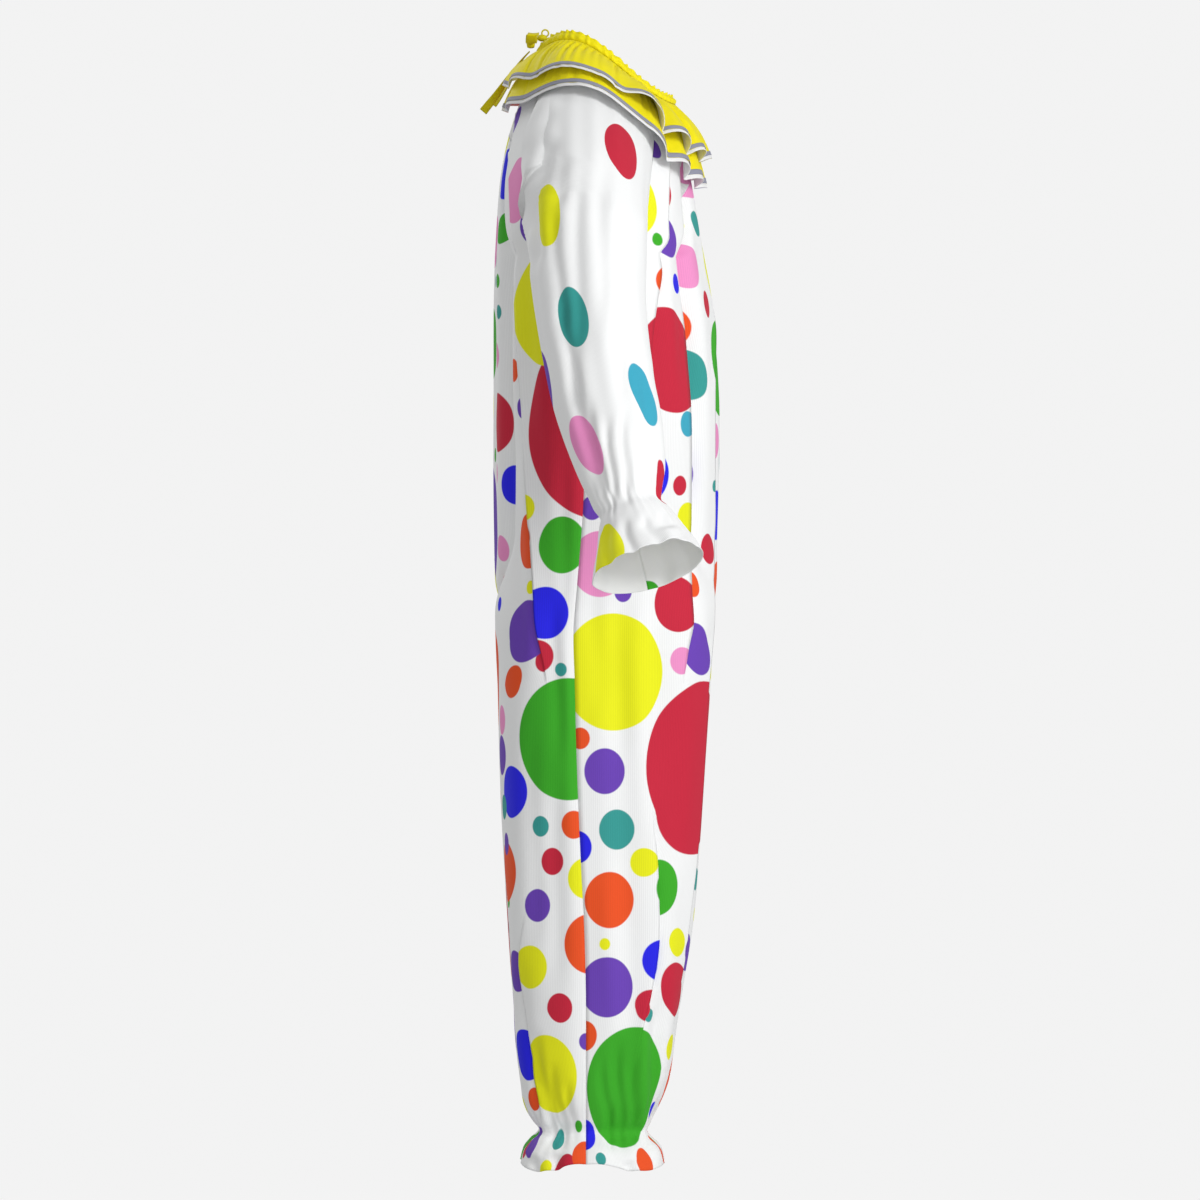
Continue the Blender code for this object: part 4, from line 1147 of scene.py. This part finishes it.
def woven(name, colour, thread, roughness, sheen, depth):
    """A plain weave on a smooth cloth: fine crossing threads as a bump and as painted shade, the
    colour 3 percent darker or lighter across them, over a soft random tone.
    """
    material, shader = cloth_material(name, colour, roughness, sheen)
    tree = material.node_tree
    flat = put(material, "ShaderNodeUVMap", {"uv_map": "Cloth"})
    line = put(material, "ShaderNodeSeparateXYZ", links={0: (flat, "UV")})
    waves = [wave(material, line, axis, thread) for axis in ("X", "Y")]
    weave = put(
        material, "ShaderNodeMath", {"operation": "MULTIPLY"}, {0: (waves[0], 0), 1: (waves[1], 0)}
    )
    cloud = put(
        material, "ShaderNodeTexNoise", {"Scale": 35.0, "Detail": 3.0}, {"Vector": (flat, "UV")}
    )
    # A soft random tone of the cloth, up to 7 percent darker, that follows no light.
    shade = put(
        material,
        "ShaderNodeMapRange",
        {"From Min": 0.3, "From Max": 0.7, "To Min": 0.93, "To Max": 1.0},
        {"Value": (cloud, 0)},
    )
    # Painted shade of the weave: the colour goes 3 percent darker or lighter across the crossing threads,
    # added to the random tone.
    painted_weave_shade_and_tone = put(
        material,
        "ShaderNodeMath",
        {"operation": "MULTIPLY_ADD", 1: 0.03},
        {0: (weave, 0), 2: (shade, "Result")},
    )
    toned = put(
        material,
        "ShaderNodeVectorMath",
        {"operation": "SCALE", 0: colour},
        {"Scale": (painted_weave_shade_and_tone, 0)},
    )
    tree.links.new(toned.outputs["Vector"], shader.inputs["Base Color"])
    bump = put(
        material, "ShaderNodeBump", {"Strength": 0.5, "Distance": depth}, {"Height": (weave, 0)}
    )
    tree.links.new(bump.outputs["Normal"], shader.inputs["Normal"])
    return material


# Thread spacings are drawn at 1.2 mm, about three times the real ones, which are too fine to show.
def ruffle_satin(dyes):
    """Bright yellow polyester satin, smooth with a soft gleam on its crests."""
    return woven("yellow satin", dyes.ruffle, 0.0012, 0.6, 0.03, 0.00008)


def ruffle_lining(dyes):
    """The white reverse of the printed satin, matt."""
    return woven("satin reverse", dyes.lining, 0.0012, 0.75, 0.03, 0.00008)


def band_ribbon(dyes):
    """Grey grosgrain ribbon: closely ribbed across, with little gleam."""
    return woven("grey grosgrain", dyes.band, 0.0014, 0.6, 0.1, 0.00012)


def tie_ribbon(dyes):
    """Yellow satin ribbon, a little darker than the ruffles: the darker yellow is painted shade, for the
    shade at the back of the neck where the tie sits.
    """
    return woven("yellow ribbon satin with painted shade", dyes.ribbon, 0.0010, 0.5, 0.05, 0.00006)


def material_of(name, maker):
    """A material by name, made the first time that it is asked for."""
    return bpy.data.materials.get(name) or maker(bpy.context.scene.costume_dyes)


# ---------------------------------------------------------------------------------------------------
# The collar.


def flute_wave(angle, out, shape):
    """How far a tier's flutes stand out and lean sideways."""
    degrees = np.degrees(np.abs(angle))
    phase = 2 * np.pi * through(shape.flutes, "phase", degrees)
    height = through(shape.flutes, "height", degrees) * MM
    swing = through(shape.flutes, "swing", degrees) * MM
    growth = np.clip(out, 0, 1) ** FLARE
    side = np.sign(angle)
    return growth * height * np.cos(phase), growth * side * swing * np.sin(phase)


def tier(around, out, shape):
    """A collar tier: around is 0 to 1 from one side of the back slit to the other, out is 0 to 1."""
    first = math.radians(180 - shape.slit)
    angle = first * (1 - 2 * around)
    size = np.abs(angle)
    sewn = neck(angle, shape.sewn)
    rim = points(
        -shape.half_width * np.sin(angle),
        shape.middle - shape.half_depth * np.cos(angle),
        through(shape.rim, "height", np.degrees(size)),
    )
    reach = rim - sewn
    tangent = points(-np.cos(angle), np.sin(angle), 0)
    outward = unit(np.cross(tangent, reach))
    lift, swing = flute_wave(angle, out, shape)
    lift = lift + shape.bulge * np.sin(np.pi * out)
    return sewn + reach * out[..., None] + outward * lift[..., None] + tangent * swing[..., None]


def pleats(around, out, count, draws):
    """Small pleats below a gathered edge, of uneven width, depth and length."""
    edges = (np.arange(count + 1) + draws.uniform(-0.3, 0.3, count + 1)) / count
    edges[0], edges[-1] = 0.0, 1.0
    grown = 1 if np.ptp(out) == 0 else ease(out / PLEAT_START)
    phase = np.interp(around, edges, np.arange(count + 1))
    number = np.clip(phase.astype(int), 0, count - 1)
    strength = draws.uniform(0.4, 1.3, count)[number]
    reach = draws.uniform(0.22, 0.85, count)[number]
    return strength * np.exp(-((out / reach) ** 2)) * (1 - np.cos(2 * np.pi * phase)) / 2 * grown


def casing(around, up):
    """The gathered casing that holds the drawstring, standing round the neck."""
    angle = CASING_END * (1 - 2 * around)
    foot = neck(angle, CASING_FOOT)
    top = neck(angle, CASING_TOP)
    return foot + (top - foot) * up[..., None]


# ---------------------------------------------------------------------------------------------------
# The ribbon.


def on_route(stops, v):
    """Places along a route of points, and the headings there."""
    at = np.clip(v, 0, 1) * (len(stops) - 1)
    i = np.clip(at.astype(int), 0, len(stops) - 2)
    t = (at - i)[..., None]
    headings = np.gradient(stops, axis=0)
    place = stops[i] * (1 - t) + stops[i + 1] * t
    bend = (headings[i] - headings[i + 1]) * t * (1 - t) / 2
    return place + bend, headings[i] * (1 - t) + headings[i + 1] * t


def tail_surface(route, twist):
    """A ribbon that follows a route of points, turning as it goes."""
    stops = np.array(route)

    def surface(u, v):
        middle, heading = on_route(stops, v)
        side = unit(np.cross(heading, np.cross((1.0, 0, 0), heading)))
        face = unit(np.cross(heading, side))
        turn = (twist * ease(v))[..., None]
        across = side * np.cos(turn) + face * np.sin(turn)
        return middle + across * ((u - 0.5) * RIBBON_WIDTH)[..., None]

    return surface


def loop_surface(heading):
    """A ribbon in a teardrop loop that leaves the knot along a heading and comes back above itself."""
    rise = Vector((-heading.z, 0, heading.x)).normalized()
    if rise.z < 0:
        rise.negate()
    start = LOOP_START * 1
    start.x = math.copysign(start.x, heading.x)
    route = []
    for row in range(LOOP_TURNS + 1):
        turn = -math.pi + 2 * math.pi * row / LOOP_TURNS
        out = LOOP_LENGTH * (1 + math.cos(turn)) / 2
        fullness = LOOP_PINCH + (1 - LOOP_PINCH) * math.sin(abs(turn) / 2) ** 2
        over = math.sin(turn) * fullness / 2 - LOOP_LIFT * turn / math.pi
        route.append(start + heading * out + rise * LOOP_HEIGHT * over)
    stops = np.array(route)

    def surface(u, v):
        return on_route(stops, v)[0] + points(0, (u - 0.5) * RIBBON_WIDTH, 0)

    return surface


def grid_of(surface, across, along, facing):
    """A surface's places and outward normals at the crossings of its columns and rows."""
    u, v = np.meshgrid(np.asarray(across, float), np.asarray(along, float), indexing="ij")
    places = surface(u, v)
    return places, grid_normals(places, facing)


def lengths_along(places):
    """Flat coordinates of a grid, in metres along its columns and its rows."""
    u = np.zeros(places.shape[:2])
    v = np.zeros(places.shape[:2])
    u[1:] = np.cumsum(np.linalg.norm(np.diff(places, axis=0), axis=-1), axis=0)
    v[:, 1:] = np.cumsum(np.linalg.norm(np.diff(places, axis=1), axis=-1), axis=1)
    return np.stack((u, v), axis=-1)


# ---------------------------------------------------------------------------------------------------
# Operators.


class COSTUME_OT_stage(bpy.types.Operator):
    """Sets up the floor, the light and the camera"""

    bl_idname = "costume.stage"
    bl_label = "Stage"

    def execute(self, context):
        scene = context.scene
        scene.view_settings.view_transform = "Standard"
        camera = bpy.data.cameras.new("camera")
        camera.lens = camera.sensor_width * VIEW_AWAY / VIEW_SPAN
        camera.clip_end = 4 * VIEW_AWAY
        viewer = bpy.data.objects.new("camera", camera)
        viewer.location = (-VIEW_AWAY, VIEW_Y, VIEW_Z)
        viewer.rotation_euler = (math.radians(90), 0, math.radians(-90))
        scene.collection.objects.link(viewer)
        scene.camera = viewer
        self.make_floor(FRAME_BOX[0][2] - FLOOR_BELOW)
        self.make_lights(scene)
        return {"FINISHED"}

    def make_floor(self, height):
        """A pale floor that curves up into a backdrop all round, so that no edge shows."""
        mesh = bpy.data.meshes.new("floor")
        bm = bmesh.new()
        bmesh.ops.create_circle(bm, cap_ends=True, segments=96, radius=FLOOR)
        rim = [edge for edge in bm.edges if edge.is_boundary]
        for turn in range(1, CURVE_STEPS + 1):
            grown = bmesh.ops.extrude_edge_only(bm, edges=rim)["geom"]
            corners = [item for item in grown if isinstance(item, bmesh.types.BMVert)]
            rim = [item for item in grown if isinstance(item, bmesh.types.BMEdge)]
            angle = math.radians(90) * turn / CURVE_STEPS
            radius = FLOOR + CURVE * math.sin(angle)
            for corner in corners:
                flat = Vector((corner.co.x, corner.co.y, 0)).normalized() * radius
                corner.co = (flat.x, flat.y, CURVE * (1 - math.cos(angle)))
        grown = bmesh.ops.extrude_edge_only(bm, edges=rim)["geom"]
        for item in grown:
            if isinstance(item, bmesh.types.BMVert):
                item.co.z += BACKDROP
        bmesh.ops.translate(bm, vec=(0, 0, height), verts=bm.verts)
        bmesh.ops.recalc_face_normals(bm, faces=bm.faces[:])
        bmesh.ops.reverse_faces(bm, faces=bm.faces[:])
        bm.to_mesh(mesh)
        bm.free()
        mesh.shade_smooth()
        floor = bpy.data.objects.new("floor", mesh)
        bpy.context.scene.collection.objects.link(floor)
        material, shader = cloth_material("studio paper", linear("#202020"), 1.0, 0.0)
        shader.inputs["Specular IOR Level"].default_value = 0.0
        shader.inputs["Emission Color"].default_value = (*linear("#F2F2F2"), 1)
        shader.inputs["Emission Strength"].default_value = 1.0
        floor.visible_diffuse = False
        floor.visible_glossy = False
        floor.visible_shadow = False
        mesh.materials.append(material)

    def make_lights(self, scene):
        """Soft light from the front right and above, and a dim even fill."""
        world = bpy.data.worlds.new("studio")
        world.use_nodes = True
        world.node_tree.nodes["Background"].inputs["Color"].default_value = (1, 1, 1, 1)
        world.node_tree.nodes["Background"].inputs["Strength"].default_value = 0.46
        scene.world = world
        for name, place, size, power in (
            ("key", (-3.3, -3.3, 1.5), 1.6, 132),
            ("fill", (-4.4, -1.2, -1.3), 3.0, 42),
            ("back", (3.0, 2.5, 1.8), 2.5, 55),
        ):
            lamp = bpy.data.lights.new(name, "AREA")
            lamp.size = size
            lamp.energy = power
            light = bpy.data.objects.new(name, lamp)
            light.location = place
            aim = Vector((0, 0, -0.6)) - light.location
            light.rotation_euler = aim.to_track_quat("-Z", "Y").to_euler()
            scene.collection.objects.link(light)


class COSTUME_OT_ties(bpy.types.Operator):
    """Makes the ribbon at the back of the neck: its tails, knot and loops"""

    bl_idname = "costume.ties"
    bl_label = "Ribbon tie"

    def execute(self, context):
        thickness = context.scene.costume_ruffles.ribbon
        ribbon = material_of("yellow ribbon satin with painted shade", tie_ribbon)
        strips = {
            "tie_tail_right": (tail_surface(RIGHT_TAIL, TAIL_TWIST), 28),
            "tie_tail_left": (tail_surface(LEFT_TAIL, -TAIL_TWIST), 28),
            "tie_loop_right": (loop_surface(RIGHT_LOOP), 56),
            "tie_loop_left": (loop_surface(LEFT_LOOP), 56),
        }
        for name, (surface, rows) in strips.items():
            places, outward = grid_of(surface, np.linspace(0, 1, 9), np.linspace(0, 1, rows + 1), 1)
            cup = np.cos(np.linspace(-math.pi / 2, math.pi / 2, 9))[:, None, None]
            places = places + outward * cup * 0.0007
            mesh, _ = grid_mesh(name + "_ribbon", places, lengths_along(places))
            piece = finish_cloth(mesh.name, mesh, outward, thickness, [ribbon])
            stand_for(piece, name)
        self.make_knot(ribbon)
        return {"FINISHED"}

    def make_knot(self, material):
        """The knot: a small soft block with a faint ripple along it, the small loop that stands up out of
        it, and a turn of the ribbon beside it.
        """
        mesh = bpy.data.meshes.new("tie_knot_wrapped")
        bm = bmesh.new()
        bmesh.ops.create_cube(bm, size=1)
        bmesh.ops.subdivide_edges(bm, edges=bm.edges[:], cuts=9, use_grid_fill=True)
        for corner in bm.verts:
            round_place = corner.co.normalized() * 0.56
            corner.co = corner.co.lerp(round_place, 0.6)
            corner.co.z *= 1 + 0.07 * math.sin(corner.co.x * 26)
        bmesh.ops.scale(bm, vec=KNOT_SIZE, verts=bm.verts)
        bmesh.ops.translate(bm, vec=KNOT, verts=bm.verts)
        ring = []
        for turn in range(RING_TURNS):
            angle = 2 * math.pi * turn / RING_TURNS
            middle = RING + Vector((0, math.cos(angle), math.sin(angle))) * RING_RADIUS
            out = Vector((0, math.cos(angle), math.sin(angle)))
            sides = [2 * math.pi * side / RING_SIDES for side in range(RING_SIDES)]
            ring.append([
                bm.verts.new(
                    middle + out * RING_THICK * math.cos(a) + Vector((RING_WIDE * math.sin(a), 0, 0))
                )
                for a in sides
            ])
        for turn in range(RING_TURNS):
            here, after = ring[turn], ring[(turn + 1) % RING_TURNS]
            for side in range(RING_SIDES):
                beside = (side + 1) % RING_SIDES
                bm.faces.new((here[side], here[beside], after[beside], after[side]))
        turned = bmesh.ops.create_icosphere(bm, subdivisions=3, radius=1)["verts"]
        bmesh.ops.scale(bm, vec=TURN_SIZE, verts=turned)
        bmesh.ops.translate(bm, vec=TURN, verts=turned)
        bmesh.ops.recalc_face_normals(bm, faces=bm.faces[:])
        layer = bm.loops.layers.uv.new("Cloth")
        for face in bm.faces:
            for loop in face.loops:
                loop[layer].uv = (loop.vert.co.x, loop.vert.co.z)
        bm.to_mesh(mesh)
        bm.free()
        mesh.shade_smooth()
        mesh.materials.append(material)
        knot = bpy.data.objects.new("tie_knot_wrapped", mesh)
        bpy.context.scene.collection.objects.link(knot)
        stand_for(knot, "tie_knot")


def make_panel(panel, node_names, context):
    """Makes a panel on the wearer's right and its twin on the left, each with its own dots."""
    sizes = context.scene.costume_cloth
    dyes = context.scene.costume_dyes
    cloth = bpy.data.materials.get("printed polyester") or printed_polyester(dyes, sizes.rib)
    for number, node in enumerate(node_names):
        draws = np.random.default_rng(SEED + 10 * list(DOTS).index(panel) + number)
        places, flat, plain, outward = cloth_grid(panel, draws, sizes)
        charted = (outward[..., 0] < -0.2) & (number == 0)
        dots = charted_dots(panel, flat, plain, outward) if number == 0 else []
        allowed = ~charted
        if panel == "sleeve":
            allowed &= plain[..., 2] > FRILL_TOP
        dots = scattered_dots(dots, panel, flat, allowed, charted, draws)
        if panel != "sleeve":
            places[..., 0] = np.minimum(places[..., 0], -HALF_GAP)
        if number == 1:
            places = places * (-1, 1, 1)
            outward = outward * (-1, 1, 1)
        name = node + "_cloth"
        mesh, uv = grid_mesh(name, places, flat)
        print_dots(mesh, uv, dots, dyes)
        piece = finish_cloth(
            name, mesh, outward, sizes.thickness, [cloth]
        )
        stand_for(piece, node)


class COSTUME_OT_body(bpy.types.Operator):
    """Makes the two fronts and the two backs, each from the neck to the ankle's frill"""

    bl_idname = "costume.body"
    bl_label = "Fronts and backs"

    def execute(self, context):
        make_panel("front", ("front_right", "front_left"), context)
        make_panel("back", ("back_right", "back_left"), context)
        return {"FINISHED"}


class COSTUME_OT_sleeves(bpy.types.Operator):
    """Makes the two raglan sleeves with their frilled cuffs"""

    bl_idname = "costume.sleeves"
    bl_label = "Sleeves"

    def execute(self, context):
        names = ("sleeve_right", "sleeve_left")
        make_panel("sleeve", names, context)
        return {"FINISHED"}


class COSTUME_OT_collar(bpy.types.Operator):
    """Makes the two ruffled tiers, the grey band near the rim of each, and the neck casing"""

    bl_idname = "costume.collar"
    bl_label = "Collar"

    def execute(self, context):
        sizes = context.scene.costume_ruffles
        satin = material_of("yellow satin", ruffle_satin)
        lining = material_of("satin reverse", ruffle_lining)
        grey = material_of("grey grosgrain", band_ribbon)
        draws = np.random.default_rng(SEED)
        for name, shape in (("upper", UPPER), ("lower", LOWER)):

            def surface(u, v, shape=shape):
                return tier(u, v, shape)

            around = np.linspace(0, 1, TIER_COLUMNS + 1)
            pleated = np.linspace(0, 0.3, 14, endpoint=False)
            out = np.concatenate((pleated, np.linspace(0.3, BAND[1], 20), (0.967, 0.984, 1)))
            places, outward = grid_of(surface, around, out, FACING["tier"])
            u, v = np.meshgrid(around, out, indexing="ij")
            depth = pleats(u, v, TIER_PLEATS, draws) * PLEAT_DEPTH
            places = places - outward * depth[..., None]
            flat = lengths_along(places)
            node = f"collar_{name}"
            mesh, _ = grid_mesh(node + "_ruffle", places, flat)
            self.leave_lip_pale(mesh, v)
            piece = finish_cloth(
                mesh.name, mesh, outward, sizes.thickness, [satin, lining]
            )
            stand_for(piece, node)
            band = self.make_band(node + "_trim", surface, around, sizes.band, grey)
        self.make_casing(sizes, satin, draws)
        return {"FINISHED"}

    def leave_lip_pale(self, mesh, out):
        """The strip past the grey band is in the pale cloth of the reverse."""
        middle = (out[:-1, :-1] + out[1:, 1:]) / 2
        pale = (middle > BAND[1]).astype(np.int32)
        mesh.polygons.foreach_set("material_index", pale.T.ravel())

    def make_band(self, node, surface, around, thickness, material):
        """The grey ribbon sewn near a tier's rim."""
        places, outward = grid_of(surface, around, np.linspace(*BAND, 5), FACING["tier"])
        places = places + outward * (BAND_LIFT + thickness)
        mesh, _ = grid_mesh(node + "_band", places, lengths_along(places))
        band = finish_cloth(mesh.name, mesh, outward, thickness, [material])
        stand_for(band, node)
        return band

    def make_casing(self, sizes, material, draws):
        """The drawn casing: puffed between its two edges and ruffled along its top."""
        around = np.linspace(0, 1, CASING_COLUMNS + 1)
        up = np.linspace(0, 1, CASING_ROWS + 1)
        places, outward = grid_of(casing, around, up, FACING["casing"])
        u, v = np.meshgrid(around, up, indexing="ij")
        puff = CASING_PUFF * np.sin(np.pi * np.clip(v, 0, 0.72) / 0.72)
        crimp = pleats(u, 0 * u, CASING_GATHERS, draws)
        places = places + outward * (puff * (0.5 + 0.7 * crimp))[..., None]
        frill = ease((v - 0.62) / 0.38)
        places = places + outward * (frill * (crimp - 0.5) * CASING_PUFF)[..., None]
        places[..., 2] += frill * (crimp - 0.8) * 0.0012
        mesh, _ = grid_mesh("neck_casing_gathered", places, lengths_along(places))
        piece = finish_cloth(
            mesh.name, mesh, outward, sizes.thickness, [material]
        )
        stand_for(piece, "neck_casing")
        flat = lengths_along(places)


class COSTUME_PT_panel(bpy.types.Panel):
    """Lists the makers of the costume's pieces"""

    bl_idname = "COSTUME_PT_panel"
    bl_label = "Clown costume"
    bl_space_type = "VIEW_3D"
    bl_region_type = "UI"
    bl_category = "Costume"

    def draw(self, context):
        for maker in MAKERS:
            self.layout.operator(maker.bl_idname)
        for group, sizes in GROUPS:
            for name in sizes.__annotations__:
                self.layout.prop(getattr(context.scene, group), name)


MAKERS = (COSTUME_OT_stage, COSTUME_OT_ties, COSTUME_OT_body, COSTUME_OT_sleeves, COSTUME_OT_collar)
GROUPS = (
    ("costume_cloth", ClothSizes),
    ("costume_ruffles", RuffleSizes),
    ("costume_dyes", Dyes),
)


def register():
    for name, group in GROUPS:
        bpy.utils.register_class(group)
        setattr(bpy.types.Scene, name, bpy.props.PointerProperty(type=group))
    for maker in (*MAKERS, COSTUME_PT_panel):
        bpy.utils.register_class(maker)


def unregister():
    for maker in (*MAKERS, COSTUME_PT_panel):
        bpy.utils.unregister_class(maker)
    for name, group in GROUPS:
        delattr(bpy.types.Scene, name)
        bpy.utils.unregister_class(group)


def main():
    register()
    bpy.ops.costume.stage()
    bpy.ops.costume.ties()
    bpy.ops.costume.body()
    bpy.ops.costume.sleeves()
    bpy.ops.costume.collar()


if __name__ == "__main__":
    main()
